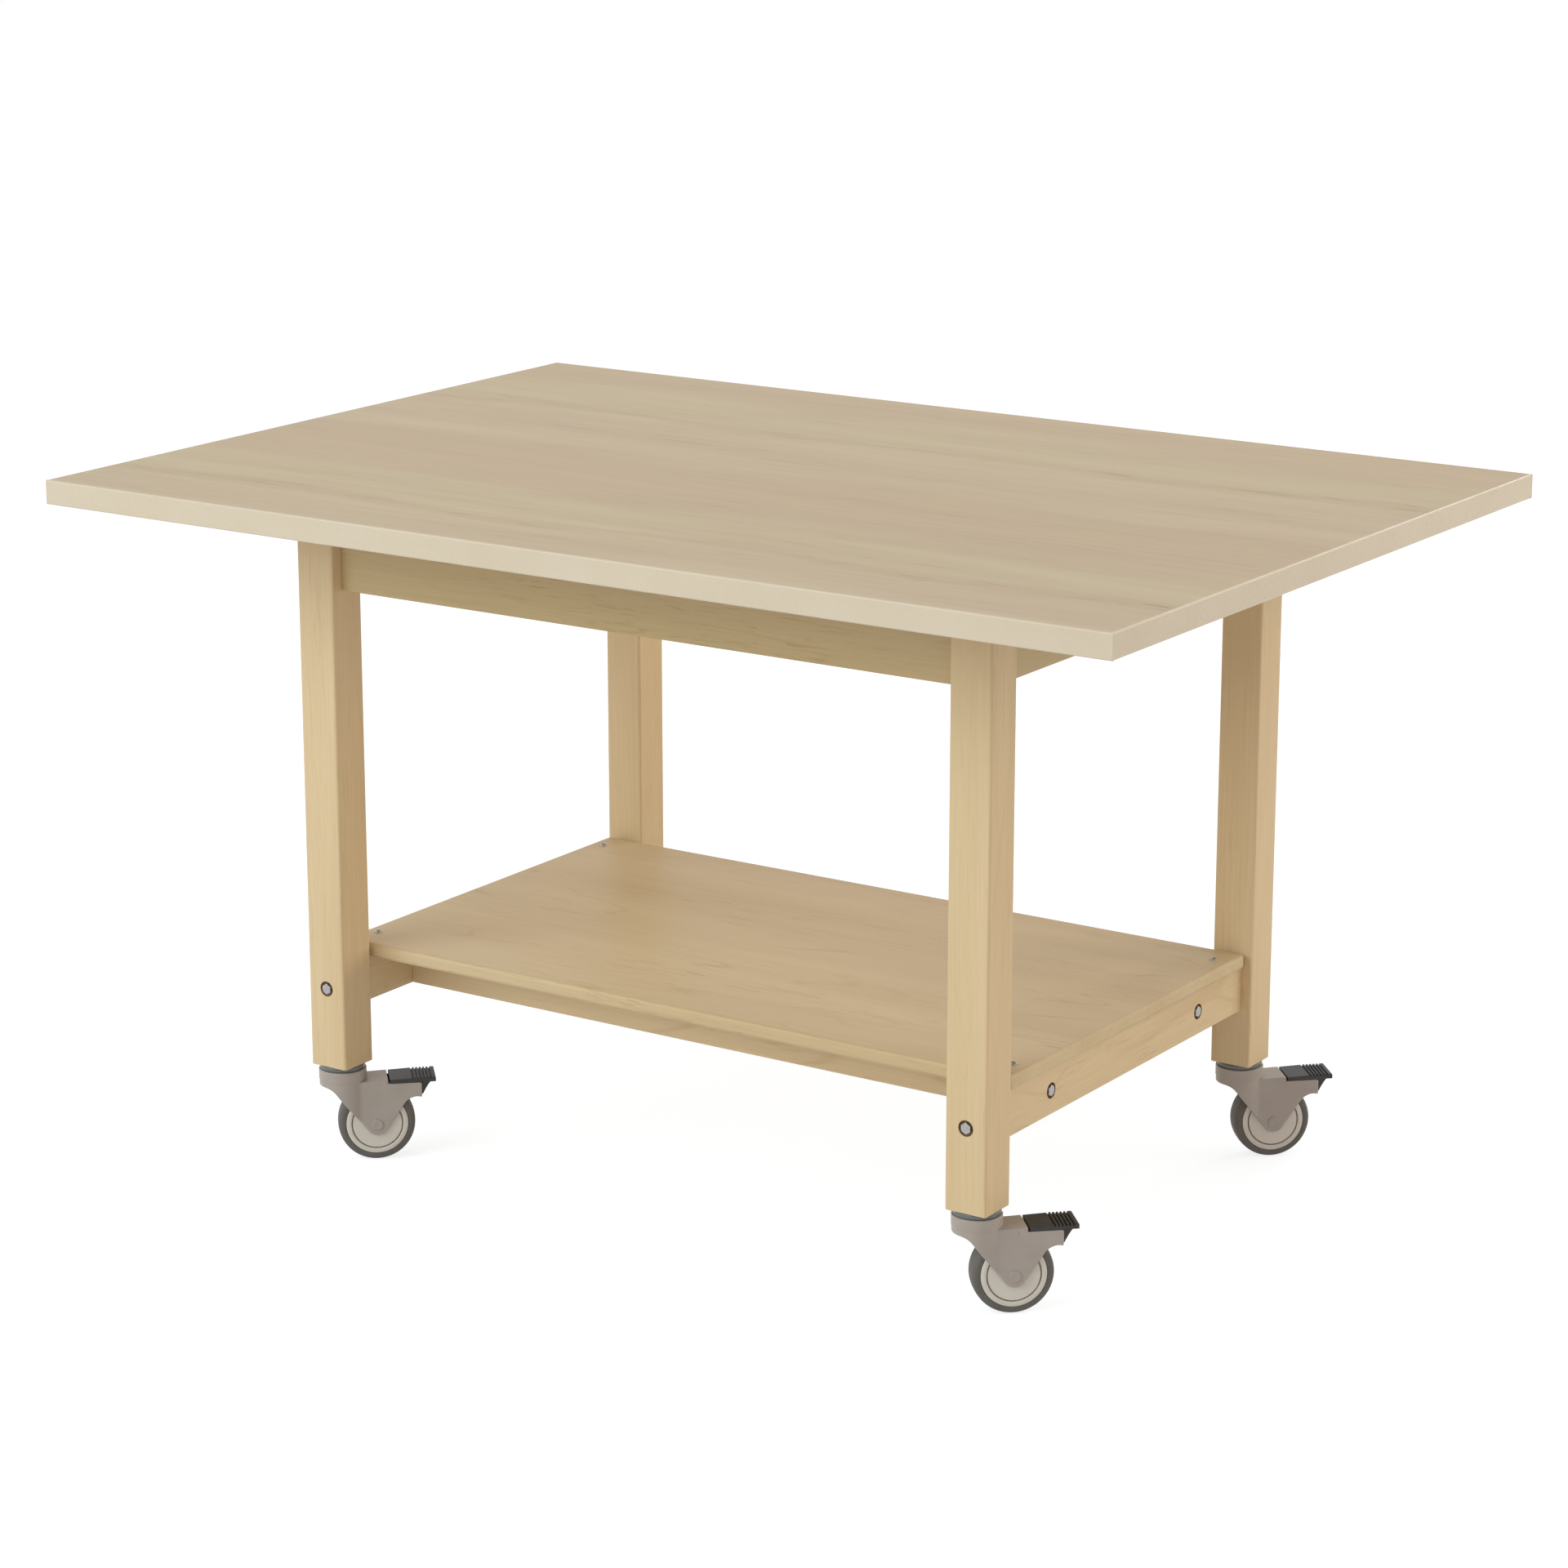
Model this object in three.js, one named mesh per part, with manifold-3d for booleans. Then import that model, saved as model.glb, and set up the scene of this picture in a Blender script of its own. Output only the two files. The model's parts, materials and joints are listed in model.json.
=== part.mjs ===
// Assembly table on four braked swivel casters.
// Millimetres, +Z up. The origin is on the floor under the middle of the tabletop, and the front is at -Y.

import * as THREE from 'three';
import { mergeVertices } from 'three/addons/utils/BufferGeometryUtils.js';
import Module from 'manifold-3d';

const wasm = await Module();
wasm.setup();

// Tabletop
const TOP_LENGTH = 1524;
const TOP_DEPTH = 1065;
const TOP_THICKNESS = 31;
const SHEET = 1; // face laminate, and backer under the core
const BAND = 3; // edge band thickness
const BAND_ROUND = 2; // radius along the outer edges of the band

// Legs, aprons and corner blocks
const FRAME_LENGTH = 1016; // over the outer faces of the legs
const FRAME_DEPTH = 711;
const LEG_SIDE = 56;
const LEG_LENGTH = 737;
const LEG_ROUND = 3;
const APRON_HEIGHT = 108;
const APRON_THICKNESS = 19;
const BLOCK_REACH = 70; // along each apron, from the leg
const BLOCK_HEIGHT = 60;
const BLOCK_DROP = 5; // below the underside of the top

// End rails, stretchers and shelf
const RAIL_THICKNESS = 29;
const RAIL_HEIGHT = 60;
const RAIL_LIFT = 76; // above the foot of the legs
const STRETCHER_OFFSET = 183; // from the middle of the table to the middle of a stretcher
const SHELF_LENGTH = 1003;
const SHELF_DEPTH = 584;
const SHELF_THICKNESS = 19;
const SHELF_ROUND = 5;

// Fasteners
const BOLT_RADIUS = 4;
const BOLT_FLATS = 12.7; // across the flats of the hex head
const BOLT_HEAD = 5.5;
const BOLT_BITE = 40; // length of shank in the second piece
const COUNTERBORE_RADIUS = 10;
const COUNTERBORE_DEPTH = 5;
const SCREW_RADIUS = 2.2;
const SCREW_HEAD_RADIUS = 5;
const SCREW_HEAD = 2.5;
const SCREW_CROWN = { radius: 3.5, height: 2.1 }; // where the dome of the head turns down
const SCREW_BITE = 25;
const SCREW_OFFSET = 248; // from the middle of the table along an end rail
const FIT = 0.3; // clearance round a piece in its hole
const RUNNING_FIT = 0.4; // clearance round a piece that turns in its hole
const OVERCUT = 10; // how far a cutting block reaches past what it cuts

// Flats round a turned piece or a bore
const FLATS = { screw: 8, bore: 10, cap: 12, counterbore: 16, ring: 20, wheel: 28 };

// Caster: u runs from the swivel axis towards the axle, heights are above the floor
const CASTER_HEIGHT = 131; // floor to the foot of the leg
const CASTER_HEADING = THREE.MathUtils.degToRad(42.6); // from +X towards +Y
const TRAIL = 42; // swivel axis to axle
const WHEEL_RADIUS = 50;
const TYRE_HALF = 16.5; // half widths are measured from the middle plane of the caster
const TYRE_ROUND = 6;
const TYRE_LIP = { across: 1, height: 2 }; // the tyre's inner edge, set in from its wall
const RIM_RADIUS = 40;
const HUB_HALF = 18;
const HUB_CHAMFER = 1.4;
const GROOVE_RADIUS = 32.6; // round groove in each face of the wheel core
const GROOVE_HALF = 0.8;
const GROOVE_DEPTH = 1.2;
const AXLE_RADIUS = 4;
const AXLE_HEAD_RADIUS = 7.5;
const AXLE_HEAD = 1.7;
const AXLE_CHAMFER = 1;
const STEM_RADIUS = 5.5;
const STEM_LENGTH = 40;
const SWIVEL_RADIUS = 9;
const SWIVEL_DEPTH = 12.5; // of the swivel pin, in the collar
const RING_RADIUS = 29; // bearing ring between the collar and the leg
const RING_CHAMFER = 1.5;

// Fork housing
const COLLAR_RADIUS = 30.8;
const COLLAR_TOP = 124.5;
const COLLAR_FOOT = 107.5;
const BODY_RADIUS = 30; // round of the housing below the collar
const BODY_FOOT = 102.5; // lowest height of the housing in front of the wheel
const DECK = { start: 20, foot: 108.8, end: 56.5, top: 110.2 }; // behind the collar, rising to the pedal
const CHEEK_OUTER = 22.5;
const CHEEK_INNER = 18.8;
const FORK_TIP = 14; // radius of the cheek's tip round the axle
const FORK_FRONT_LEAN = THREE.MathUtils.degToRad(37.7); // of the cheek's edges, from upright
const FORK_BACK_LEAN = THREE.MathUtils.degToRad(34.5);
const FORK_END = 100.5;
const FORK_RIM = 104.9; // top of the cheeks under the pedal
const RIM_ROUND = 2.5; // of the cheeks' upper back corners
const THROAT_ROUND = 8; // bend between the foot of the housing and the cheek's front edge
const LIP_HEIGHT = 86; // underside of the cheeks behind the wheel
const LIP_ROUND = 6; // bend between the cheek's back edge and the lip
const LIP_BEND = 3; // how far that bend stands behind the edge
const WHEEL_ROOM = 4; // between the tyre and the housing
const POCKET_START = 57; // pocket for the brake pedal between the cheeks
const POCKET_FOOT = 70;

// Brake pedal
const PIVOT = { u: 62.5, height: 100.5, radius: 2.2, half: 21 };
const KNUCKLE = 2.8;
const PEDAL_HALF = 22.2; // half width of the tread plate
const PEDAL_BODY_HALF = 18.4;
const PEDAL_START = 59.2;
const PEDAL_END = 118.8;
const PEDAL_HEEL = 110; // top of the plate over the pivot
const PEDAL_TOP = 111.2; // and where the ribs start
const PEDAL_PLATE_FOOT = 105.4;
const PEDAL_ROUND = 1.2; // upper edge of the plate over the pivot
const HEEL_LIFT = 0.9; // lower edge of the plate, which dips towards the cheeks as the pedal lifts
const TIP_CHAMFER = 1.4;
const RIBS = 6;
const RIB_PITCH = 4.5;
const RIB_TOP = 111.7;
const RIB_FOOT = 109.5;
const RIBS_INSET = 4; // from the tip of the plate to the last rib
const PLATE_OVERLAP = 2; // of the body into the plate
const BELLY = { height: 98.5, end: 94.5 }; // underside of the body between the cheeks
const TAIL = { start: 98.5, end: 102, foot: 88, top: 114.8 }; // wedge behind the cheeks
const TAIL_BEND = { u: 108.5, height: 101.5 }; // control point of its hollow back

// Heights and places that follow from the sizes above
const LEG_FOOT = CASTER_HEIGHT;
const TOP_UNDERSIDE = LEG_FOOT + LEG_LENGTH;
const LEG_X = (FRAME_LENGTH - LEG_SIDE) / 2;
const LEG_Y = (FRAME_DEPTH - LEG_SIDE) / 2;
const RAIL_MIDDLE = LEG_FOOT + RAIL_LIFT + RAIL_HEIGHT / 2;
const SHELF_UNDERSIDE = LEG_FOOT + RAIL_LIFT + RAIL_HEIGHT;
const BETWEEN_LEGS_X = 2 * LEG_X - LEG_SIDE;
const BETWEEN_LEGS_Y = 2 * LEG_Y - LEG_SIDE;
const BETWEEN_RAILS = 2 * LEG_X - RAIL_THICKNESS;

const CORNERS = [
  { name: 'front_left', sx: -1, sy: -1 },
  { name: 'front_right', sx: 1, sy: -1 },
  { name: 'back_left', sx: -1, sy: 1 },
  { name: 'back_right', sx: 1, sy: 1 },
];

// Finishes
function finish(color, roughness, metalness = 0) {
  return new THREE.MeshStandardMaterial({ color, roughness, metalness });
}
const LAMINATE_MAPLE = finish(0xc7b798, 0.35);
const PANEL_CORE = finish(0xb79b73, 0.9);
const BACKER_BROWN = finish(0x8d7556, 0.7);
const BAND_MAPLE = finish(0xd8cbb2, 0.45);
const SOLID_MAPLE = finish(0xd5bf94, 0.5);
const ZINC = finish(0xb9b4b6, 0.4, 0.9);
const HOUSING_GREY = finish(0x968c82, 0.55);
const WHEEL_GREY = finish(0xbeb4aa, 0.5);
const TYRE_GREY = finish(0x645f5b, 0.8);
const RING_GREY = finish(0x5a5f62, 0.5);
const PEDAL_BLACK = finish(0x282623, 0.6);

const table = new THREE.Group();

function piece(name, geometry, material, parent = table) {
  const mesh = new THREE.Mesh(geometry, material);
  mesh.name = name;
  parent.add(mesh);
  return mesh;
}

// Booleans: a closed geometry as a solid, and back again
function solid(geometry) {
  const bare = geometry.clone();
  bare.deleteAttribute('normal');
  bare.deleteAttribute('uv');
  const merged = mergeVertices(bare);
  const corners = merged.index.array;
  const triVerts = [];
  for (let i = 0; i < corners.length; i += 3) {
    const [a, b, c] = corners.slice(i, i + 3);
    if (a !== b && b !== c && c !== a) triVerts.push(a, b, c);
  }
  return new wasm.Manifold(new wasm.Mesh({
    numProp: 3,
    vertProperties: Float32Array.from(merged.attributes.position.array),
    triVerts: Uint32Array.from(triVerts),
  }));
}

function shell(body) {
  const { vertProperties, triVerts } = body.getMesh();
  const geometry = new THREE.BufferGeometry();
  geometry.setAttribute('position', new THREE.BufferAttribute(vertProperties, 3));
  geometry.setIndex(new THREE.BufferAttribute(triVerts, 1));
  geometry.computeVertexNormals();
  return geometry;
}

// A round rod along x, y or z, centred on a point
function rod(radius, length, axis, x, y, z, sides = FLATS.bore) {
  const geometry = new THREE.CylinderGeometry(radius, radius, length, sides);
  if (axis === 'x') geometry.rotateZ(Math.PI / 2);
  if (axis === 'z') geometry.rotateX(Math.PI / 2);
  return geometry.translate(x, y, z);
}

// A block centred on a point
function block(lx, ly, lz, x, y, z) {
  return new THREE.BoxGeometry(lx, ly, lz).translate(x, y, z);
}

// A rectangle with round corners, centred on the origin
function roundedRectangle(width, height, radius) {
  const shape = new THREE.Shape();
  const x = width / 2 - radius;
  const y = height / 2 - radius;
  const quarter = Math.PI / 2;
  shape.absarc(x, y, radius, 0, quarter);
  shape.absarc(-x, y, radius, quarter, 2 * quarter);
  shape.absarc(-x, -y, radius, 2 * quarter, 3 * quarter);
  shape.absarc(x, -y, radius, 3 * quarter, 4 * quarter);
  return shape;
}

// A side outline (u across, height up) made into a slab of the given half width along y
function slab(outline, half, curveSegments = 4) {
  const options = { depth: 2 * half, bevelEnabled: false, curveSegments };
  const geometry = new THREE.ExtrudeGeometry(outline, options);
  return geometry.rotateX(Math.PI / 2).translate(0, half, 0);
}

// A profile of [radius, height] pairs, from the top down, turned round z, or round y for pieces on an axle
function turned(profile, sides, axis = 'z') {
  const points = profile.map(([radius, height]) => new THREE.Vector2(radius, height)).reverse();
  const geometry = new THREE.LatheGeometry(points, sides, Math.PI / sides);
  return axis === 'z' ? geometry.rotateX(Math.PI / 2) : geometry;
}

// Tabletop: core between two sheets, with a band glued round its edge
function makeTabletop() {
  const innerLength = TOP_LENGTH - 2 * BAND;
  const innerDepth = TOP_DEPTH - 2 * BAND;
  const coreHeight = TOP_THICKNESS - 2 * SHEET;
  const backer = block(innerLength, innerDepth, SHEET, 0, 0, TOP_UNDERSIDE + SHEET / 2);
  const core = block(innerLength, innerDepth, coreHeight, 0, 0, TOP_UNDERSIDE + TOP_THICKNESS / 2);
  const laminate = block(innerLength, innerDepth, SHEET, 0, 0, TOP_UNDERSIDE + TOP_THICKNESS - SHEET / 2);
  piece('tabletop_backer', backer, BACKER_BROWN);
  piece('tabletop_core', core, PANEL_CORE);
  piece('tabletop_laminate', laminate, LAMINATE_MAPLE);
  const sides = [
    { name: 'front', length: TOP_LENGTH, out: -TOP_DEPTH / 2, turn: 0 },
    { name: 'back', length: TOP_LENGTH, out: -TOP_DEPTH / 2, turn: Math.PI },
    { name: 'right', length: innerDepth, out: -TOP_LENGTH / 2, turn: Math.PI / 2 },
    { name: 'left', length: innerDepth, out: -TOP_LENGTH / 2, turn: -Math.PI / 2 },
  ];
  for (const { name, length, out, turn } of sides) {
    const band = piece(`edge_band_${name}`, bandStrip(length, out), BAND_MAPLE);
    band.rotation.z = turn;
  }
}

// A strip of edge band along x, with its outer face at y = out and its outer edges rounded
function bandStrip(length, out) {
  const low = TOP_UNDERSIDE;
  const high = TOP_UNDERSIDE + TOP_THICKNESS;
  const section = new THREE.Shape();
  section.moveTo(out + BAND, low);
  section.lineTo(out + BAND, high);
  section.absarc(out + BAND_ROUND, high - BAND_ROUND, BAND_ROUND, Math.PI / 2, Math.PI);
  section.absarc(out + BAND_ROUND, low + BAND_ROUND, BAND_ROUND, Math.PI, 1.5 * Math.PI);
  const options = { depth: length, bevelEnabled: false, curveSegments: 2 };
  const geometry = new THREE.ExtrudeGeometry(section, options);
  geometry.rotateY(Math.PI / 2).rotateX(Math.PI / 2);
  return geometry.translate(-length / 2, 0, 0);
}

// Legs: square with eased edges, bored for the caster stem and for the bolt into the end rail
function makeLegs() {
  const outline = roundedRectangle(LEG_SIDE, LEG_SIDE, LEG_ROUND);
  const options = { depth: LEG_LENGTH, bevelEnabled: false, curveSegments: 1 };
  for (const { name, sx, sy } of CORNERS) {
    const x = sx * LEG_X;
    const y = sy * LEG_Y;
    const outerFace = y + sy * LEG_SIDE / 2;
    const stemHole = 2 * (STEM_LENGTH + FIT);
    const headHole = rod(
      COUNTERBORE_RADIUS, 2 * COUNTERBORE_DEPTH, 'y', x, outerFace, RAIL_MIDDLE, FLATS.counterbore);
    const post = solid(new THREE.ExtrudeGeometry(outline, options).translate(x, y, LEG_FOOT))
      .subtract(solid(rod(STEM_RADIUS + FIT, stemHole, 'z', x, y, LEG_FOOT)))
      .subtract(solid(headHole))
      .subtract(solid(rod(BOLT_RADIUS + FIT, 2 * LEG_SIDE, 'y', x, y, RAIL_MIDDLE)));
    piece(`leg_${name}`, shell(post), SOLID_MAPLE);
  }
}

// Aprons: boards between the legs, centred on them, up against the underside of the top
function makeAprons() {
  const z = TOP_UNDERSIDE - APRON_HEIGHT / 2;
  for (const [name, side] of [['front', -1], ['back', 1]]) {
    const board = block(BETWEEN_LEGS_X, APRON_THICKNESS, APRON_HEIGHT, 0, side * LEG_Y, z);
    piece(`apron_${name}`, board, SOLID_MAPLE);
  }
  for (const [name, side] of [['left', -1], ['right', 1]]) {
    const board = block(APRON_THICKNESS, BETWEEN_LEGS_Y, APRON_HEIGHT, side * LEG_X, 0, z);
    piece(`apron_${name}`, board, SOLID_MAPLE);
  }
}

// Corner blocks: glued in the corner of two aprons and notched over the leg
function makeCornerBlocks() {
  const legX = LEG_X - LEG_SIDE / 2;
  const legY = LEG_Y - LEG_SIDE / 2;
  const apronX = LEG_X - APRON_THICKNESS / 2;
  const apronY = LEG_Y - APRON_THICKNESS / 2;
  const foot = TOP_UNDERSIDE - BLOCK_DROP - BLOCK_HEIGHT;
  for (const { name, sx, sy } of CORNERS) {
    const plan = new THREE.Shape();
    plan.moveTo(sx * (legX - BLOCK_REACH), sy * apronY);
    plan.lineTo(sx * legX, sy * apronY);
    plan.lineTo(sx * legX, sy * legY);
    plan.lineTo(sx * apronX, sy * legY);
    plan.lineTo(sx * apronX, sy * (legY - BLOCK_REACH));
    plan.closePath();
    const wedge = new THREE.ExtrudeGeometry(plan, { depth: BLOCK_HEIGHT, bevelEnabled: false });
    piece(`corner_block_${name}`, wedge.translate(0, 0, foot), SOLID_MAPLE);
  }
}

// End rails: between front and back legs, bored for the leg bolts, rail bolts and shelf screws
function makeEndRails() {
  for (const [name, side] of [['left', -1], ['right', 1]]) {
    const x = side * LEG_X;
    const outerFace = x + side * RAIL_THICKNESS / 2;
    let rail = solid(block(RAIL_THICKNESS, BETWEEN_LEGS_Y, RAIL_HEIGHT, x, 0, RAIL_MIDDLE));
    for (const end of [-1, 1]) {
      const endFace = end * BETWEEN_LEGS_Y / 2;
      const y = end * STRETCHER_OFFSET;
      const boltHole = 2 * (BOLT_BITE + FIT);
      const headHole = rod(
        COUNTERBORE_RADIUS, 2 * COUNTERBORE_DEPTH, 'x', outerFace, y, RAIL_MIDDLE, FLATS.counterbore);
      const screwHole = 2 * (SCREW_BITE + FIT);
      const screwY = end * SCREW_OFFSET;
      rail = rail
        .subtract(solid(rod(BOLT_RADIUS + FIT, boltHole, 'y', x, endFace, RAIL_MIDDLE)))
        .subtract(solid(headHole))
        .subtract(solid(rod(BOLT_RADIUS + FIT, 2 * RAIL_THICKNESS, 'x', x, y, RAIL_MIDDLE)))
        .subtract(solid(rod(SCREW_RADIUS + FIT, screwHole, 'z', x, screwY, SHELF_UNDERSIDE, FLATS.screw)));
    }
    piece(`end_rail_${name}`, shell(rail), SOLID_MAPLE);
  }
}

// Stretchers: along the table between the end rails, bored at the ends for the rail bolts
function makeStretchers() {
  for (const [name, side] of [['front', -1], ['back', 1]]) {
    const y = side * STRETCHER_OFFSET;
    let bar = solid(block(BETWEEN_RAILS, RAIL_THICKNESS, RAIL_HEIGHT, 0, y, RAIL_MIDDLE));
    for (const end of [-1, 1]) {
      const endFace = end * BETWEEN_RAILS / 2;
      const hole = rod(BOLT_RADIUS + FIT, 2 * (BOLT_BITE + FIT), 'x', endFace, y, RAIL_MIDDLE);
      bar = bar.subtract(solid(hole));
    }
    piece(`stretcher_${name}`, shell(bar), SOLID_MAPLE);
  }
}

// Lower shelf: a board with rounded edges on the end rails and stretchers
function makeShelf() {
  const z = SHELF_UNDERSIDE + SHELF_THICKNESS / 2;
  const section = roundedRectangle(SHELF_DEPTH, SHELF_THICKNESS, SHELF_ROUND);
  const options = { depth: SHELF_LENGTH, bevelEnabled: false, curveSegments: 2 };
  const board = new THREE.ExtrudeGeometry(section, options);
  board.rotateX(Math.PI / 2).rotateZ(Math.PI / 2).translate(-SHELF_LENGTH / 2, 0, z);
  let shelf = solid(board);
  for (const { sx, sy } of CORNERS) {
    const holeLength = 2 * SHELF_THICKNESS;
    const hole = rod(SCREW_RADIUS + FIT, holeLength, 'z', sx * LEG_X, sy * SCREW_OFFSET, z, FLATS.screw);
    shelf = shelf.subtract(solid(hole));
  }
  piece('lower_shelf', shell(shelf), SOLID_MAPLE);
}

// A hex lag bolt along +x whose head rests just clear of x = 0
function lagBolt(shank) {
  const corner = BOLT_FLATS / Math.sqrt(3);
  const head = new THREE.CylinderGeometry(corner, corner, BOLT_HEAD, 6).rotateZ(Math.PI / 2);
  head.translate(-FIT - BOLT_HEAD / 2, 0, 0);
  const start = -FIT - BOLT_HEAD / 2;
  const stalk = rod(BOLT_RADIUS, shank - start, 'x', (shank + start) / 2, 0, 0, FLATS.screw);
  return shell(solid(head).add(solid(stalk)));
}

function makeBolts() {
  const legShank = LEG_SIDE - COUNTERBORE_DEPTH + BOLT_BITE;
  const legSeat = LEG_Y + LEG_SIDE / 2 - COUNTERBORE_DEPTH;
  const railShank = RAIL_THICKNESS - COUNTERBORE_DEPTH + BOLT_BITE;
  const railSeat = LEG_X + RAIL_THICKNESS / 2 - COUNTERBORE_DEPTH;
  for (const { name, sx, sy } of CORNERS) {
    const legBolt = piece(`leg_bolt_${name}`, lagBolt(legShank), ZINC);
    legBolt.position.set(sx * LEG_X, sy * legSeat, RAIL_MIDDLE);
    legBolt.rotation.z = -sy * Math.PI / 2;
    const railBolt = piece(`rail_bolt_${name}`, lagBolt(railShank), ZINC);
    railBolt.position.set(sx * railSeat, sy * STRETCHER_OFFSET, RAIL_MIDDLE);
    railBolt.rotation.z = sx > 0 ? Math.PI : 0;
  }
}

function makeShelfScrews() {
  const top = SHELF_UNDERSIDE + SHELF_THICKNESS;
  const tip = SHELF_UNDERSIDE - SCREW_BITE;
  const profile = [
    [0, top + SCREW_HEAD], [SCREW_CROWN.radius, top + SCREW_CROWN.height], [SCREW_HEAD_RADIUS, top + FIT],
    [SCREW_RADIUS, top + FIT], [SCREW_RADIUS, tip], [0, tip],
  ];
  for (const { name, sx, sy } of CORNERS) {
    const screw = piece(`shelf_screw_${name}`, turned(profile, FLATS.bore), ZINC);
    screw.position.set(sx * LEG_X, sy * SCREW_OFFSET, 0);
  }
}

// Caster stem: swivel pin, bearing ring under the leg, and the shank in the leg
function stemGeometry() {
  const ringFoot = COLLAR_TOP + FIT;
  const pinFoot = COLLAR_TOP - SWIVEL_DEPTH + FIT;
  return turned([
    [0, LEG_FOOT + STEM_LENGTH], [STEM_RADIUS, LEG_FOOT + STEM_LENGTH], [STEM_RADIUS, LEG_FOOT],
    [RING_RADIUS - RING_CHAMFER, LEG_FOOT], [RING_RADIUS, LEG_FOOT - RING_CHAMFER], [RING_RADIUS, ringFoot],
    [SWIVEL_RADIUS, ringFoot], [SWIVEL_RADIUS, pinFoot], [0, pinFoot],
  ], FLATS.ring);
}

// Cheek outline of the fork: V-shaped down to the axle, with a lip over the back of the wheel
function forkSide() {
  const frontTangent = Math.PI + FORK_FRONT_LEAN;
  const backTangent = 2 * Math.PI - FORK_BACK_LEAN;
  const frontFoot = WHEEL_RADIUS + FORK_TIP * Math.sin(frontTangent);
  const frontEdge = (height) =>
    TRAIL + FORK_TIP * Math.cos(frontTangent) - (height - frontFoot) * Math.tan(FORK_FRONT_LEAN);
  const backFoot = WHEEL_RADIUS + FORK_TIP * Math.sin(backTangent);
  const backEdge = (height) =>
    TRAIL + FORK_TIP * Math.cos(backTangent) + (height - backFoot) * Math.tan(FORK_BACK_LEAN);
  const beyondBody = -BODY_RADIUS - OVERCUT;
  const throat = BODY_FOOT - THROAT_ROUND;
  const lipFoot = LIP_HEIGHT - LIP_ROUND;
  const side = new THREE.Shape();
  side.moveTo(beyondBody, DECK.foot);
  side.lineTo(beyondBody, BODY_FOOT);
  side.lineTo(frontEdge(BODY_FOOT) - THROAT_ROUND, BODY_FOOT);
  side.quadraticCurveTo(frontEdge(BODY_FOOT), BODY_FOOT, frontEdge(throat), throat);
  side.absarc(TRAIL, WHEEL_RADIUS, FORK_TIP, frontTangent, backTangent);
  side.lineTo(backEdge(lipFoot), lipFoot);
  side.quadraticCurveTo(backEdge(LIP_HEIGHT) + LIP_BEND, LIP_HEIGHT, FORK_END - LIP_ROUND, LIP_HEIGHT);
  side.lineTo(FORK_END, LIP_HEIGHT);
  side.lineTo(FORK_END, FORK_RIM - RIM_ROUND);
  side.quadraticCurveTo(FORK_END, FORK_RIM, FORK_END - RIM_ROUND, FORK_RIM);
  side.lineTo(DECK.end, FORK_RIM);
  side.lineTo(DECK.end, DECK.top);
  side.lineTo(DECK.start, DECK.foot);
  side.closePath();
  return side;
}

// Fork plan: round under the swivel, straight cheeks behind
function forkPlan() {
  const meet = Math.asin(CHEEK_OUTER / BODY_RADIUS);
  const plan = new THREE.Shape();
  plan.moveTo(FORK_END + OVERCUT, -CHEEK_OUTER);
  plan.lineTo(FORK_END + OVERCUT, CHEEK_OUTER);
  plan.absarc(0, 0, BODY_RADIUS, meet, 2 * Math.PI - meet);
  plan.closePath();
  return plan;
}

function forkGeometry() {
  const options = { depth: COLLAR_TOP, bevelEnabled: false, curveSegments: 10 };
  const body = solid(new THREE.ExtrudeGeometry(forkPlan(), options));
  const collarMiddle = (COLLAR_TOP + COLLAR_FOOT) / 2;
  const collar = rod(COLLAR_RADIUS, COLLAR_TOP - COLLAR_FOOT, 'z', 0, 0, collarMiddle, FLATS.wheel);
  const roomRadius = WHEEL_RADIUS + WHEEL_ROOM;
  const wheelRoom = rod(roomRadius, 2 * CHEEK_INNER, 'y', TRAIL, 0, WHEEL_RADIUS, FLATS.wheel);
  const pocketLength = FORK_END + OVERCUT - POCKET_START;
  const pocketHeight = COLLAR_TOP - POCKET_FOOT;
  const pedalRoom = block(
    pocketLength, 2 * CHEEK_INNER, pocketHeight,
    POCKET_START + pocketLength / 2, 0, POCKET_FOOT + pocketHeight / 2,
  );
  const swivelRadius = SWIVEL_RADIUS + RUNNING_FIT;
  const swivelBore = rod(swivelRadius, 2 * SWIVEL_DEPTH, 'z', 0, 0, COLLAR_TOP, FLATS.counterbore);
  const axleBore = rod(AXLE_RADIUS + FIT, 4 * CHEEK_OUTER, 'y', TRAIL, 0, WHEEL_RADIUS);
  const pivotHole = rod(PIVOT.radius + RUNNING_FIT, 2 * (PIVOT.half + FIT), 'y', PIVOT.u, 0, PIVOT.height);
  return shell(body
    .intersect(solid(slab(forkSide(), 2 * CHEEK_OUTER)))
    .add(solid(collar))
    .subtract(solid(wheelRoom))
    .subtract(solid(pedalRoom))
    .subtract(solid(swivelBore))
    .subtract(solid(axleBore))
    .subtract(solid(pivotHole)));
}

// Wheel core and tyre: flats of the tread stand at the wheel radius, so the wheel rests on one
function wheelGeometry() {
  const face = HUB_HALF;
  const floor = HUB_HALF - GROOVE_DEPTH;
  const bore = AXLE_RADIUS + RUNNING_FIT;
  const half = [
    [bore, face],
    [GROOVE_RADIUS - GROOVE_HALF, face], [GROOVE_RADIUS, floor], [GROOVE_RADIUS + GROOVE_HALF, face],
    [RIM_RADIUS - HUB_CHAMFER, face], [RIM_RADIUS, face - HUB_CHAMFER],
  ];
  const other = half.map(([radius, across]) => [radius, -across]).reverse();
  return turned([...half, ...other, half[0]], FLATS.wheel, 'y').translate(TRAIL, 0, WHEEL_RADIUS);
}

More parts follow.
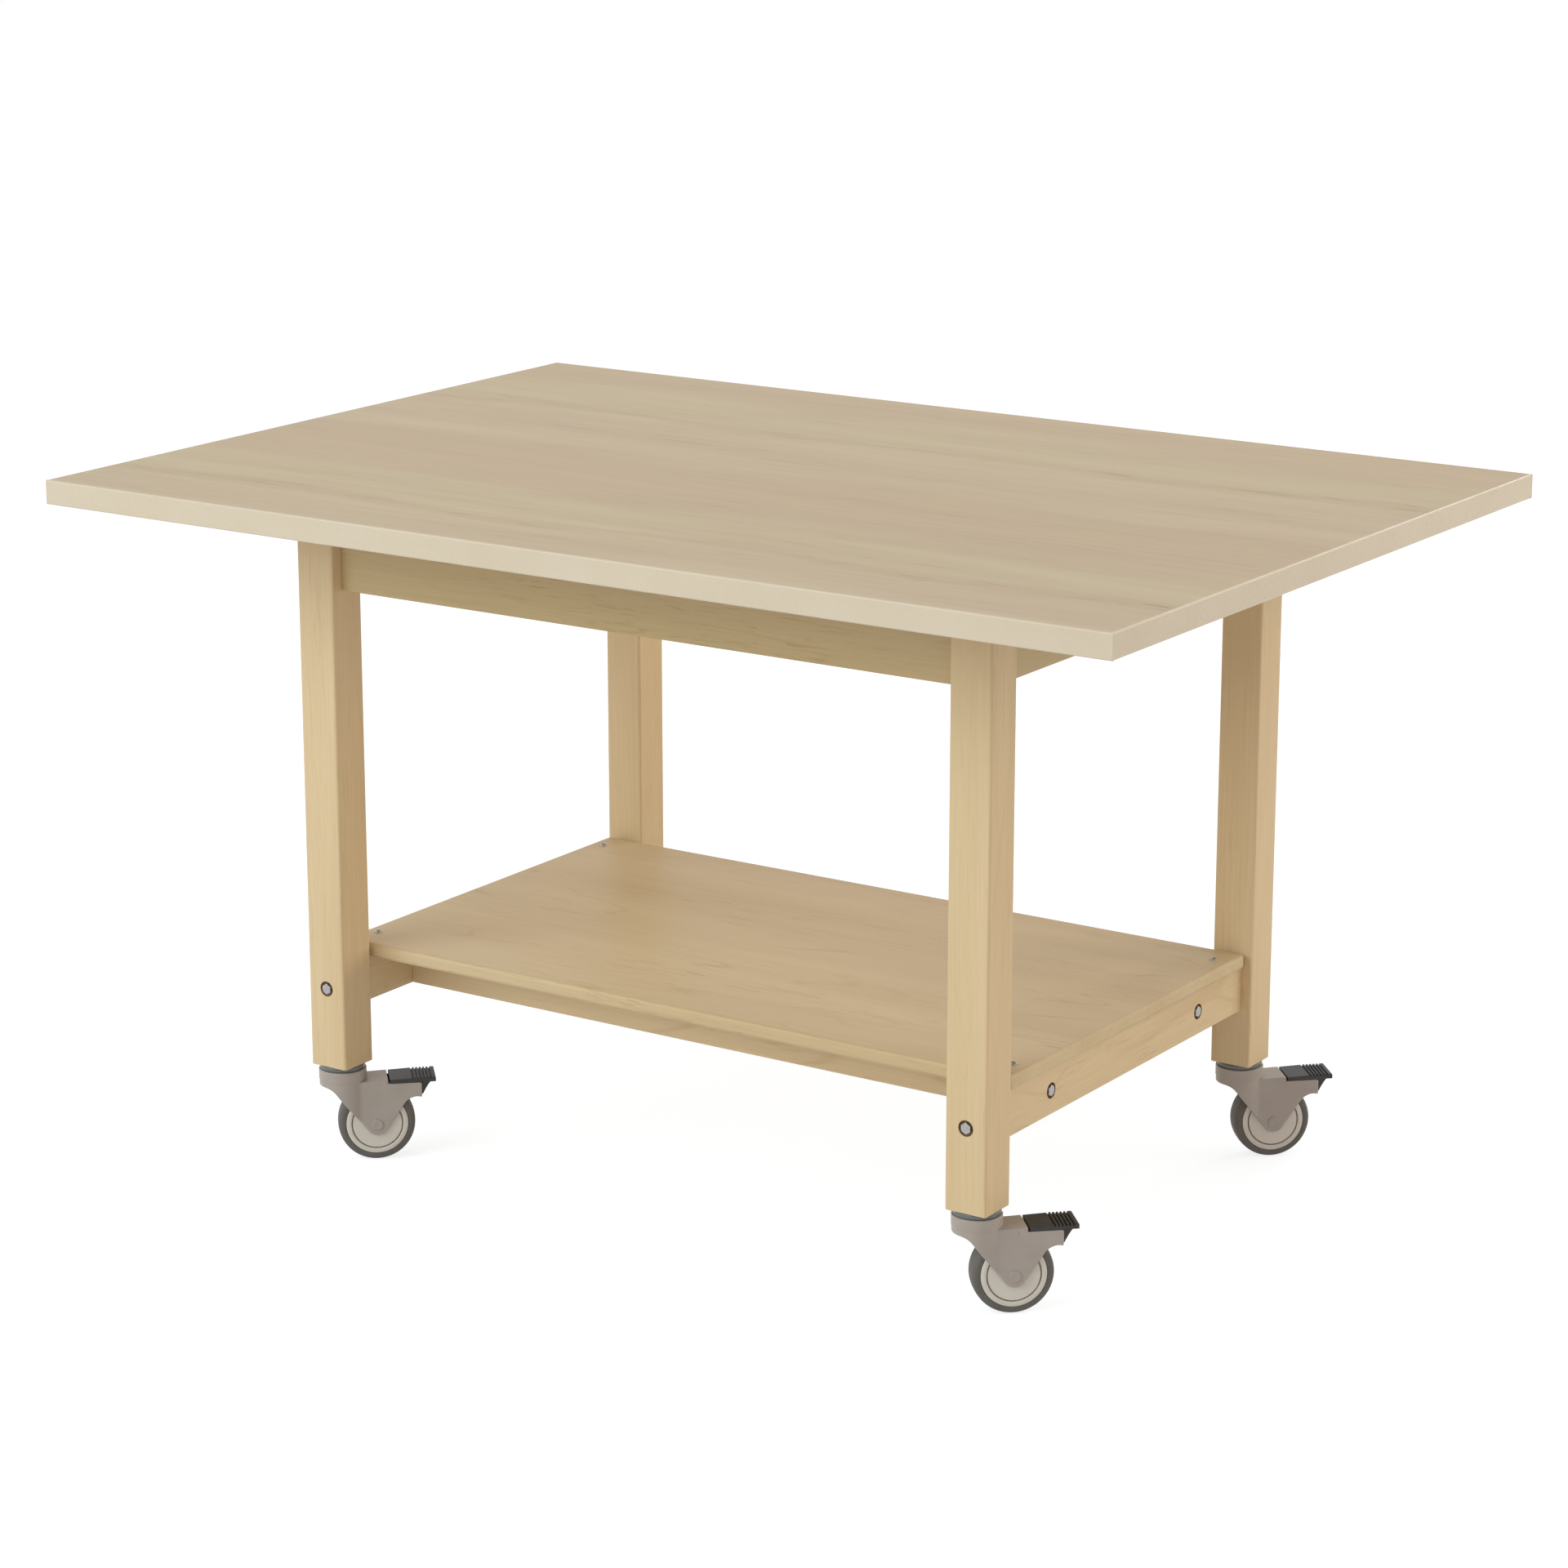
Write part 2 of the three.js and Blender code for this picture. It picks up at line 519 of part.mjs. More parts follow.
function tyreGeometry() {
  const flat = 1 / Math.cos(Math.PI / FLATS.wheel);
  const bore = RIM_RADIUS + FIT;
  const shoulder = WHEEL_RADIUS - TYRE_ROUND;
  const slant = TYRE_ROUND * Math.SQRT1_2;
  const tread = TYRE_HALF - TYRE_ROUND;
  const half = [
    [bore, TYRE_HALF - TYRE_LIP.across], [bore + TYRE_LIP.height, TYRE_HALF], [shoulder * flat, TYRE_HALF],
    [(shoulder + slant) * flat, tread + slant], [WHEEL_RADIUS * flat, tread],
  ];
  const other = half.map(([radius, across]) => [radius, -across]).reverse();
  return turned([...half, ...other, half[0]], FLATS.wheel, 'y').translate(TRAIL, 0, WHEEL_RADIUS);
}

// Axle: a pin through cheeks and wheel, with a round cap on each cheek
function axleGeometry() {
  const seat = CHEEK_OUTER + FIT;
  const end = seat + AXLE_HEAD;
  const half = [
    [0, end], [AXLE_HEAD_RADIUS - AXLE_CHAMFER, end], [AXLE_HEAD_RADIUS, end - AXLE_CHAMFER],
    [AXLE_HEAD_RADIUS, seat], [AXLE_RADIUS, seat],
  ];
  const other = half.map(([radius, across]) => [radius, -across]).reverse();
  return turned([...half, ...other], FLATS.cap, 'y').translate(TRAIL, 0, WHEEL_RADIUS);
}

// Brake pedal: a ribbed tread plate over the cheeks, and a narrower body on its pivot between them
function pedalGeometry() {
  const ribsStart = PEDAL_END - RIBS_INSET - RIBS * RIB_PITCH;
  const quarter = RIB_PITCH / 4;
  const plate = new THREE.Shape();
  plate.moveTo(PEDAL_START, PEDAL_PLATE_FOOT + HEEL_LIFT);
  plate.lineTo(PIVOT.u, PEDAL_PLATE_FOOT);
  plate.lineTo(PEDAL_END, PEDAL_PLATE_FOOT);
  plate.lineTo(PEDAL_END, RIB_TOP - TIP_CHAMFER);
  plate.lineTo(PEDAL_END - TIP_CHAMFER, RIB_TOP);
  for (let rib = RIBS - 1; rib >= 0; rib -= 1) {
    const start = ribsStart + rib * RIB_PITCH;
    plate.lineTo(start + 3 * quarter, RIB_TOP);
    plate.lineTo(start + 2 * quarter, RIB_FOOT);
    plate.lineTo(start + quarter, RIB_FOOT);
    if (rib > 0) plate.lineTo(start, RIB_TOP);
  }
  plate.lineTo(ribsStart, PEDAL_TOP);
  plate.lineTo(PEDAL_START + PEDAL_ROUND, PEDAL_HEEL);
  plate.quadraticCurveTo(PEDAL_START, PEDAL_HEEL, PEDAL_START, PEDAL_HEEL - PEDAL_ROUND);
  plate.closePath();
  const bodyTop = PEDAL_PLATE_FOOT + PLATE_OVERLAP;
  const body = new THREE.Shape();
  body.moveTo(PIVOT.u - KNUCKLE, bodyTop);
  body.absarc(PIVOT.u, PIVOT.height, KNUCKLE, Math.PI, 1.5 * Math.PI);
  body.lineTo(BELLY.end, BELLY.height);
  body.lineTo(TAIL.start, TAIL.foot);
  body.lineTo(TAIL.end, TAIL.foot);
  body.quadraticCurveTo(TAIL_BEND.u, TAIL_BEND.height, TAIL.top, bodyTop);
  body.closePath();
  const pivot = rod(PIVOT.radius, 2 * PIVOT.half, 'y', PIVOT.u, 0, PIVOT.height);
  return shell(solid(slab(plate, PEDAL_HALF))
    .add(solid(slab(body, PEDAL_BODY_HALF)))
    .add(solid(pivot)));
}

function makeCasters() {
  for (const { name, sx, sy } of CORNERS) {
    const stem = piece(`caster_stem_${name}`, stemGeometry(), RING_GREY);
    stem.position.set(sx * LEG_X, sy * LEG_Y, 0);
    const caster = new THREE.Group();
    caster.position.set(sx * LEG_X, sy * LEG_Y, 0);
    caster.rotation.z = CASTER_HEADING;
    table.add(caster);
    piece(`caster_fork_${name}`, forkGeometry(), HOUSING_GREY, caster);
    piece(`caster_wheel_${name}`, wheelGeometry(), WHEEL_GREY, caster);
    piece(`caster_tyre_${name}`, tyreGeometry(), TYRE_GREY, caster);
    piece(`caster_axle_${name}`, axleGeometry(), HOUSING_GREY, caster);
    piece(`brake_pedal_${name}`, pedalGeometry(), PEDAL_BLACK, caster);
  }
}

makeTabletop();
makeLegs();
makeAprons();
makeCornerBlocks();
makeEndRails();
makeStretchers();
makeShelf();
makeBolts();
makeShelfScrews();
makeCasters();

export default table;
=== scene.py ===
import json
import math

import bmesh
import bpy
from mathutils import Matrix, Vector


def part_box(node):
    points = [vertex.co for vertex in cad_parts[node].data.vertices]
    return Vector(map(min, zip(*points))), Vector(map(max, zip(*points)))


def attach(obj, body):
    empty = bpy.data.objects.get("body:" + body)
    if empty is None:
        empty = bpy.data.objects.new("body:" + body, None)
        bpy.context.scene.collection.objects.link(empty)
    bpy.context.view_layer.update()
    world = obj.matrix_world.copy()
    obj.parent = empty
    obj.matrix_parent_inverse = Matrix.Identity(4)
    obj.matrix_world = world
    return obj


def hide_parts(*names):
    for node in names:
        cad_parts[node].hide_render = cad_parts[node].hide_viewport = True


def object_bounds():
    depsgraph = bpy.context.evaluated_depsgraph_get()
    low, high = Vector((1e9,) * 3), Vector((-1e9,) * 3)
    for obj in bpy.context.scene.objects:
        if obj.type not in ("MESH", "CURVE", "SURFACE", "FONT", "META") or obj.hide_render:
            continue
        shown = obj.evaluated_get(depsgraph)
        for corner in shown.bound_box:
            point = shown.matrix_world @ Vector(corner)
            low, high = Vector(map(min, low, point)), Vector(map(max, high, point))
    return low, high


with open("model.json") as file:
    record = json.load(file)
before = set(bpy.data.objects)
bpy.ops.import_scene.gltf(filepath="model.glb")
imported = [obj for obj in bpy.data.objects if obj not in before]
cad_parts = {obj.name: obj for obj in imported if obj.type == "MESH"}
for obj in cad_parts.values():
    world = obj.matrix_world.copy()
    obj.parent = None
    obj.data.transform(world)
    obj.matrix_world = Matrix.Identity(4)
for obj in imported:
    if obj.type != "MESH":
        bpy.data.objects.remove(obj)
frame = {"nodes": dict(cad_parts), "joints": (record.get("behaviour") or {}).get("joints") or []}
cad_low, cad_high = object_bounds()

# Metres throughout, and degrees for the turns that arc() takes. MM keeps the small sizes readable.
MM = 0.001

# Camera: the photograph's place, turn and lens
CAMERA_PLACE = Vector((2.962528, -4.453212, 1.937095))
CAMERA_AZIMUTH = math.radians(33.7387)
CAMERA_PITCH = math.radians(15.0236)
CAMERA_LENS = 99.84
CAMERA_SENSOR = 36

# Wood
LEG_ROUND = 3 * MM
LEG_END_EASE = 1.2 * MM
BOARD_EASE = 1.2 * MM
SHELF_ROUND = 5 * MM
BAND_ROUND = 2 * MM
SHEET_EASE = 0.2 * MM
COUNTERBORE_RADIUS = 10 * MM
COUNTERBORE_DEPTH = 5 * MM
COUNTERBORE_EASE = 0.4 * MM

# Lag bolts and shelf screws
BOLT_FLATS = 12.7 * MM
BOLT_HEAD = 5.5 * MM
BOLT_FLAT_FACE = 6 * MM
BOLT_RADIUS = 4 * MM
BOLT_EASE = 0.35 * MM
BOLT_TIP_ROUND = 3.2 * MM
SCREW_RADIUS = 2.2 * MM
SCREW_HEAD_RADIUS = 5 * MM
SCREW_HEAD = 2.5 * MM
SCREW_HEAD_EDGE = 0.75 * MM
SCREW_HEAD_CROWN = 4.6 * MM
SCREW_TURN = math.radians(20)
SCREW_POINT = 6 * MM
CROSS_LENGTH = 5.6 * MM
CROSS_WIDTH = 1.3 * MM
CROSS_DEPTH = 1.6 * MM

# Caster: u runs along X from the swivel to the axle, v along Y, heights are above the floor
joints = {joint["name"]: joint for joint in frame["joints"]}
CORNERS = ("front_left", "front_right", "back_left", "back_right")
swivel_place = Vector(joints["swivel_turn_front_left"]["pos_m"])
axle_place = Vector(joints["wheel_spin_front_left"]["pos_m"])
axle_line = Vector(joints["wheel_spin_front_left"]["axis"])
HEADING = math.atan2(-axle_line.x, axle_line.y)
TRAIL = (axle_place - swivel_place).to_2d().length
AXLE_HEIGHT = axle_place.z

# Caster stem with its bearing ring and swivel pin
STEM_RADIUS = 5.5 * MM
STEM_LENGTH = 40 * MM
RING_TOP = 131 * MM
RING_FOOT = 124.8 * MM
RING_RADIUS = 29 * MM
RING_ROUND = 1.6 * MM
RING_UNDERCUT = 1.5 * MM
SWIVEL_RADIUS = 9 * MM
SWIVEL_FOOT = 112.3 * MM
SWIVEL_GAP = 0.4 * MM

# Fork housing: collar, round body, deck with its lip, cheeks, and room for wheel and pedal
COLLAR_RADIUS = 30.8 * MM
COLLAR_TOP = 124.5 * MM
COLLAR_FOOT = 107.8 * MM
COLLAR_STEP = 111 * MM
COLLAR_CHAMFER = 1 * MM
COLLAR_ROUND = 1 * MM
BODY_RADIUS = 30.2 * MM
BODY_FOOT = 102.5 * MM
BODY_FILLET = 12 * MM
DECK_START = (20 * MM, 108.8 * MM)
DECK_END = (56.5 * MM, 110.2 * MM)
DECK_LIP_START = 52 * MM
DECK_LIP_END = 57 * MM
DECK_LIP_FOOT = (57.6 * MM, 105.2 * MM)
DECK_LIP_EASE = 0.3 * MM
DECK_LIP_SINK = 0.02 * MM
CHEEK_OUTER = 22.5 * MM
CHEEK_INNER = 18.8 * MM
FORK_TIP = 14 * MM
FORK_FRONT_LEAN = math.radians(37.7)
FORK_BACK_LEAN = math.radians(34.5)
FORK_END = 100.5 * MM
FORK_RIM = 104.9 * MM
FORK_EASE = 1.3 * MM
FORK_MERGE = 0.3 * MM
CHEEK_ROUND = 2.2 * MM
CHEEK_SPARE = 0.05 * MM
RIM_ROUND = 2.5 * MM
THROAT_ROUND = 8 * MM
LIP_HEIGHT = 86 * MM
LIP_ROUND = 6 * MM
LIP_BEND = 3 * MM
LIP_DROP = 1 * MM
WHEEL_ROOM = 54 * MM
POCKET_START = 57 * MM
POCKET_FOOT = 70 * MM
TICK_PLACE = (46 * MM, 104.6 * MM)
TICK_SIZE = (0.7 * MM, 4.2 * MM)
TICK_DEPTH = 0.5 * MM
OVERCUT = 10 * MM

# Tyre, wheel core and axle
WHEEL_RADIUS = 50 * MM
TYRE_HALF = 16.5 * MM
TYRE_ROUND = 6.5 * MM
TYRE_CROWN = 0.5 * MM
TYRE_SHOULDER_TURN = 84
TYRE_GAP = 0.05 * MM
TYRE_LIP = 1.6 * MM
RIM_RADIUS = 40 * MM
RIM_LIP = 1.6 * MM
HUB_HALF = 18 * MM
HUB_BORE = 4.4 * MM
GROOVE_RADIUS = 32.6 * MM
GROOVE_HALF = 0.9 * MM
GROOVE_DEPTH = 6 * MM
GROOVE_EASE = 0.3 * MM
BEAD_RADIUS = 36.6 * MM
BEAD_RISE = 0.3 * MM
AXLE_RADIUS = 4 * MM
CAP_RADIUS = 7.5 * MM
CAP_HEIGHT = 1.7 * MM
CAP_ROUND = 1.3 * MM
CAP_DISH_RADIUS = 4.8 * MM
CAP_DISH = 0.3 * MM
CAP_DISH_EASE = 0.5 * MM
CAP_SINK = 0.4 * MM

# Brake pedal: pivot, tread plate, ribs, belly and tail
PIVOT_U = 62.5 * MM
PIVOT_HEIGHT = 100.5 * MM
PIVOT_RADIUS = 2.2 * MM
PIVOT_HALF = 21 * MM
KNUCKLE = 2.8 * MM
PEDAL_HALF = 22.2 * MM
PEDAL_BODY_HALF = 18.4 * MM
PEDAL_START = 59.2 * MM
PEDAL_END = 118.8 * MM
PEDAL_HEEL = 110 * MM
PEDAL_TOP = 111.2 * MM
PEDAL_FOOT = 105.4 * MM
PEDAL_ROUND = 0.5 * MM
PEDAL_EASE = 0.5 * MM
HEEL_LIFT = 0.9 * MM
TIP_ROUND = 1.4 * MM
RIBS = 6
RIB_PITCH = 4.5 * MM
RIB_TOP = 111.7 * MM
RIB_FOOT = 109.5 * MM
RIB_ROUND = 0.55 * MM
RIB_LEAN = 20
RIBS_INSET = 4 * MM
PLATE_OVERLAP = 2 * MM
BELLY_HEIGHT = 98.5 * MM
BELLY_END = 94.5 * MM
TAIL_START = 98.5 * MM
TAIL_END = 102 * MM
TAIL_FOOT = 88 * MM
TAIL_TOP = 114.8 * MM
TAIL_BEND = (108.5 * MM, 101.5 * MM)

# Maple: light and dark tone, and how strongly its figure shows on boards along each axis
MAPLE_TONES = ("e5cda6", "dbc197")
# Painted shade: darker maple for the aprons, for the shade under the top's overhang
APRON_SHADE_TONES = ("d3bd94", "cab386")
# Painted shade: darker maple for the shelf, for the shade under the top
SHELF_SHADE_TONES = ("dac49e", "d0b890")
# Painted shade: much darker maple on the faces inside the counterbores, for the shade in these holes
BORE_SHADE_TONES = ("a1845b", "94784f")
FIGURED = {"X": 1.0, "Y": 0.8, "Z": 0.45}

# Maple: its noises, with their repeats in a metre along the grain and across it
MAPLE_NOISES = {
    "tone": {"rate": (1.3, 11, 11), "detail": 3, "distortion": 0.3},
    "ring": {"rate": (1.2, 9, 9), "detail": 1, "distortion": 0.7},
    "ring_place": {"rate": (6, 30, 30), "detail": 2},
    "wisp": {"rate": (13, 210, 210), "detail": 3, "roughness": 0.6, "distortion": 0.5},
    "wisp_place": {"rate": (3.2, 14, 14), "detail": 1},
    "fleck": {"rate": (38, 560, 560), "detail": 1},
    "fleck_place": {"rate": (5, 22, 22), "detail": 1},
    "fibre": {"rate": (6, 360, 360), "detail": 3, "roughness": 0.6}}
MAPLE_RINGS = 13.0

# Maple: each kind of mark, the values of its noise and of its place noise over which it comes up, how
# strong it is, and its colour
MAPLE_MARKS = (
    ("ring", (0.88, 1.0), (0.4, 0.62), 0.24, "b08858"),
    ("wisp", (0.57, 0.67), (0.44, 0.6), 0.3, "a27c50"),
    ("fleck", (0.66, 0.74), (0.44, 0.66), 0.32, "966e42"))
MAPLE_SHADE = (0.945, 1.05)
MAPLE_ROUGH = (0.42, 0.56)
MAPLE_SHINE = 0.28
MAPLE_COAT = 0.06
MAPLE_COAT_ROUGH = 0.3

# Laminate: the printed pattern's repeat, how far its bands sway and wander, its streak, and its bands
LAMINATE_REPEAT = 640 * MM
LAMINATE_SWAY = 12 * MM
LAMINATE_WANDER = 30 * MM
LAMINATE_STREAK = 0.46
LAMINATE_BANDS = (
    (0.0, "c6b08f"), (0.2, "c6b290"), (0.26, "c9bb96"), (0.42, "c9bb96"), (LAMINATE_STREAK, "c1ac8b"),
    (0.5, "c9b998"), (0.6, "cab899"), (0.8, "cab899"), (0.87, "c3ae8c"), (1.0, "c6b08f"))
LAMINATE_NOISES = {
    "drift": {"rate": (2.6, 16, 1), "detail": 5, "roughness": 0.6, "distortion": 0.5},
    "cloud": {"rate": (1.4, 14, 1), "detail": 4, "roughness": 0.6, "distortion": 0.3},
    "streak": {"rate": (3.4, 95, 1), "detail": 4, "roughness": 0.65},
    "fibre": {"rate": (9, 300, 1), "detail": 3, "roughness": 0.6},
    "dash": {"rate": (10, 120, 1), "detail": 3, "roughness": 0.6, "distortion": 0.6}}
LAMINATE_CLOUD = "bca788"
LAMINATE_CLOUDED = (0.05, 0.7)
STREAK_SHADE = (0.935, 1.065)
FIBRE_SHADE = (0.975, 1.025)
LAMINATE_ROUGH = (0.42, 0.52)
LAMINATE_SHINE = 0.4

# Laminate: its short dashes. They come up from one distance to another off the streak, and from one
# value of the clouds to another; the last two numbers say how many show at each.
LAMINATE_DASH = "9d7f5b"
DASH_SHOWS = (0.55, 0.68)
DASH_STRENGTH = 0.8
DASHES_AT_STREAK = (0.01, 0.05, 0.5, 0.0)
DASHES_IN_CLOUD = (0.46, 0.7, 0.0, 0.45)

# Where most of a noise's values lie, from narrow to wide
NOISE_CORE = (0.3, 0.7)
NOISE_BODY = (0.25, 0.75)
NOISE_REACH = (0.2, 0.8)

# Sockets of a colour mix: amount, first and second colour, and result
MIX_INPUTS = (0, 6, 7)
MIX_RESULT = 2

# Modelling: faces round a turned piece or rod, steps in an eased or rounded edge, and limits
ROD_SIDES = 48
EASE_STEPS = 2
BOARD_STEPS = 3
ROUND_STEPS = 4
SHELF_STEPS = 6
BOLT_TIP_STEPS = 3
TURN_STEPS = 96
SMOOTH_ANGLE = math.radians(38)
FLAT_WEIGHT = 100
FLAT_AREA = 0.008
FLAT_RIM = 0.8 * MM
MERGE = 0.02 * MM


# Modelling by hand: selecting, drawing outlines, extruding, turning, cutting and easing

def activate(obj):
    """Makes obj the only selected object, and the active one."""
    bpy.ops.object.select_all(action="DESELECT")
    obj.select_set(True)
    bpy.context.view_layer.objects.active = obj


def settle(obj):
    """Puts obj's place, turn and scale into its mesh."""
    activate(obj)
    bpy.ops.object.transform_apply(location=True, rotation=True, scale=True)


def named(name):
    """Names the primitive that was just added."""
    obj = bpy.context.object
    obj.name = name
    obj.data.name = name
    settle(obj)
    return obj


def block(name, low, high):
    """A box between two corners."""
    bpy.ops.object.select_all(action="DESELECT")
    bpy.ops.mesh.primitive_cube_add(size=1, location=(low + high) / 2, scale=high - low)
    return named(name)


def rod(name, radius, start, end, sides=ROD_SIDES):
    """A round rod between two points."""
    line = end - start
    turn = line.to_track_quat("Z", "Y").to_euler()
    bpy.ops.object.select_all(action="DESELECT")
    bpy.ops.mesh.primitive_cylinder_add(
        vertices=sides, radius=radius, depth=line.length, location=(start + end) / 2, rotation=turn)
    return named(name)


def trace(name, points):
    """A run of edges through points, drawn by extruding one vertex, left in edit mode."""
    bpy.ops.object.select_all(action="DESELECT")
    bpy.ops.mesh.primitive_plane_add(size=MM, location=points[0])
    obj = named(name)
    bpy.ops.object.mode_set(mode="EDIT")
    bpy.ops.mesh.select_mode(type="VERT")
    bpy.ops.mesh.select_all(action="SELECT")
    bpy.ops.mesh.merge(type="CENTER")
    for here, there in zip(points, points[1:]):
        bpy.ops.mesh.extrude_vertices_move(TRANSFORM_OT_translate={"value": there - here})
    bpy.ops.mesh.select_all(action="SELECT")
    return obj


def close_mesh():
    """In edit mode, merges doubles and turns the faces outwards, then leaves edit mode."""
    bpy.ops.mesh.select_all(action="SELECT")
    bpy.ops.mesh.remove_doubles(threshold=MERGE)
    bpy.ops.mesh.normals_make_consistent(inside=False)
    bpy.ops.object.mode_set(mode="OBJECT")


def prism(name, points, step):
    """A closed outline of 3-D points, filled and extruded by step."""
    obj = trace(name, points)
    bpy.ops.mesh.edge_face_add()
    bpy.ops.mesh.extrude_region_move(TRANSFORM_OT_translate={"value": step})
    close_mesh()
    return obj


def slab(name, outline, half):
    """A side outline of (u, height) pairs, extruded across the caster."""
    points = [Vector((u, -half, height)) for u, height in outline]
    return prism(name, points, Vector((0, 2 * half, 0)))


def turned(name, profile, axis="Z", steps=TURN_STEPS):
    """A profile of (radius, along) pairs, spun round the swivel's line, or the axle's for axis Y."""
    if axis == "Z":
        points = [Vector((radius, 0, along)) for radius, along in profile]
        centre, line = Vector((0, 0, 0)), Vector((0, 0, 1))
    else:
        points = [Vector((TRAIL, along, AXLE_HEIGHT + radius)) for radius, along in profile]
        centre, line = Vector((TRAIL, 0, AXLE_HEIGHT)), Vector((0, 1, 0))
    obj = trace(name, points)
    bpy.ops.mesh.spin(steps=steps, angle=math.tau, center=centre, axis=line)
    close_mesh()
    return obj


def combine(obj, tool, operation):
    """Joins, cuts or intersects obj with tool, and deletes tool."""
    modifier = obj.modifiers.new(operation.lower(), "BOOLEAN")
    modifier.operation = operation
    modifier.solver = "EXACT"
    modifier.object = tool
    activate(obj)
    bpy.ops.object.modifier_apply(modifier=modifier.name)
    bpy.data.objects.remove(tool)


def pick_edges(obj, wanted):
    """In edit mode, selects just the edges for which wanted(one end, other end) holds."""
    bpy.ops.mesh.select_mode(type="EDGE")
    bpy.ops.mesh.select_all(action="DESELECT")
    cage = bmesh.from_edit_mesh(obj.data)
    for edge in cage.edges:
        edge.select_set(wanted(edge.verts[0].co, edge.verts[1].co))
    bmesh.update_edit_mesh(obj.data)


def round_edges(obj, radius, segments, wanted):
    """Rounds the edges for which wanted(one end, other end) holds."""
    activate(obj)
    bpy.ops.object.mode_set(mode="EDIT")
    pick_edges(obj, wanted)
    bpy.ops.mesh.bevel(offset=radius, segments=segments, profile=0.5, affect="EDGES")
    bpy.ops.object.mode_set(mode="OBJECT")


def round_sharp_edges(obj, radius, segments, merge=MERGE):
    """Rounds every edge that turns more than the smoothing angle."""
    activate(obj)
    bpy.ops.object.mode_set(mode="EDIT")
    bpy.ops.mesh.select_all(action="SELECT")
    bpy.ops.mesh.remove_doubles(threshold=merge)
    bpy.ops.mesh.select_mode(type="EDGE")
    bpy.ops.mesh.select_all(action="DESELECT")
    bpy.ops.mesh.edges_select_sharp(sharpness=SMOOTH_ANGLE)
    bpy.ops.mesh.bevel(
        offset=radius, segments=segments, profile=0.5, affect="EDGES", clamp_overlap=False)
    close_mesh()


def hold_flats(obj):
    """Insets each large flat face a little, so that the shading of its rounded rim stays at the rim."""
    activate(obj)
    bpy.ops.object.mode_set(mode="EDIT")
    bpy.ops.mesh.select_mode(type="FACE")
    bpy.ops.mesh.select_all(action="DESELECT")
    cage = bmesh.from_edit_mesh(obj.data)
    for face in cage.faces:
        face.select_set(face.calc_area() > FLAT_AREA)
    bmesh.update_edit_mesh(obj.data)
    bpy.ops.mesh.inset(thickness=FLAT_RIM, use_individual=True)
    bpy.ops.object.mode_set(mode="OBJECT")


def smooth(obj):
    """Smooth shading over eased edges, with the large faces kept flat."""
    activate(obj)
    bpy.ops.object.shade_smooth_by_angle(angle=SMOOTH_ANGLE)
    modifier = obj.modifiers.new("flat_faces", "WEIGHTED_NORMAL")
    modifier.keep_sharp = True
    modifier.weight = FLAT_WEIGHT
    bpy.ops.object.modifier_apply(modifier=modifier.name)


def copy_to(model, name, move, turn=0.0):
    """A copy of model with its own mesh, turned about Z and moved."""
    activate(model)
    bpy.ops.object.duplicate()
    obj = bpy.context.object
    obj.name = name
    obj.data.name = name
    obj.rotation_euler.z = turn
    obj.location = move
    settle(obj)
    return obj


def every_edge(a, b):
    """True for any edge."""
    return True


def dress(obj, body, slot, material, *nodes):
    """Gives a finished piece its material and its body, and hides its CAD nodes; slot is not used."""
    obj.data.materials.clear()
    obj.data.materials.append(material)
    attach(obj, body)
    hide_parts(*nodes)


# Outline pieces

def arc(centre, radius, start, end, steps):
    """Points of an arc in a plane, from one angle to another in degrees."""
    points = []
    for step in range(steps + 1):
        angle = math.radians(start + (end - start) * step / steps)
        points.append((centre[0] + radius * math.cos(angle), centre[1] + radius * math.sin(angle)))
    return points


def bend(start, control, end, steps):
    """Points of a quadratic curve."""
    points = []
    for step in range(steps + 1):
        t = step / steps
        points.append(tuple(
            (1 - t) ** 2 * a + 2 * t * (1 - t) * b + t ** 2 * c for a, b, c in zip(start, control, end)))
    return points


# Shader nodes

def paint(code):
    """A colour written as sRGB hex, as the linear values that sockets take."""
    parts = [int(code[i:i + 2], 16) / 255 for i in (0, 2, 4)]
    return tuple(p / 12.92 if p <= 0.04045 else ((p + 0.055) / 1.055) ** 2.4 for p in parts) + (1.0,)


def feed(tree, node, inputs):
    """Sets a node's inputs, or links them where the value is another node's output."""
    for key, value in inputs.items():
        if isinstance(value, bpy.types.NodeSocket):
            tree.links.new(value, node.inputs[key])
        else:
            node.inputs[key].default_value = value


def put(tree, kind, inputs=None, **settings):
    """A shader node with its settings, and with its inputs set or linked."""
    made = tree.nodes.new(kind)
    for key, value in settings.items():
        setattr(made, key, value)
    feed(tree, made, inputs or {})
    return made


def new_finish(name):
    """A material with its node tree, its Principled shader and the Object coordinates."""
    material = bpy.data.materials.new(name)
    material.use_nodes = True
    tree = material.node_tree
    shader = tree.nodes["Principled BSDF"]
    where = put(tree, "ShaderNodeTexCoord").outputs["Object"]
    return material, tree, shader, where


def stretched(tree, where, scale):
    """Coordinates scaled by a different amount along each axis."""
    return put(tree, "ShaderNodeMapping", {"Vector": where, "Scale": scale}).outputs["Vector"]


def noise(tree, where, scale=1.0, detail=2.0, roughness=0.5, distortion=0.0):
    """A noise value from 0 to 1."""
    made = put(tree, "ShaderNodeTexNoise", {
        "Vector": where, "Scale": scale, "Detail": detail, "Roughness": roughness,
        "Distortion": distortion})
    return made.outputs["Fac"]


def span(tree, value, low, high, to_low=0.0, to_high=1.0):
    """Maps a range of values to another, clamped."""
    made = put(tree, "ShaderNodeMapRange", {
        "Value": value, "From Min": low, "From Max": high, "To Min": to_low, "To Max": to_high})
    return made.outputs["Result"]


def math_of(tree, operation, a, b=0.0):
    """A maths node on two values."""
    return put(tree, "ShaderNodeMath", {0: a, 1: b}, operation=operation).outputs["Value"]


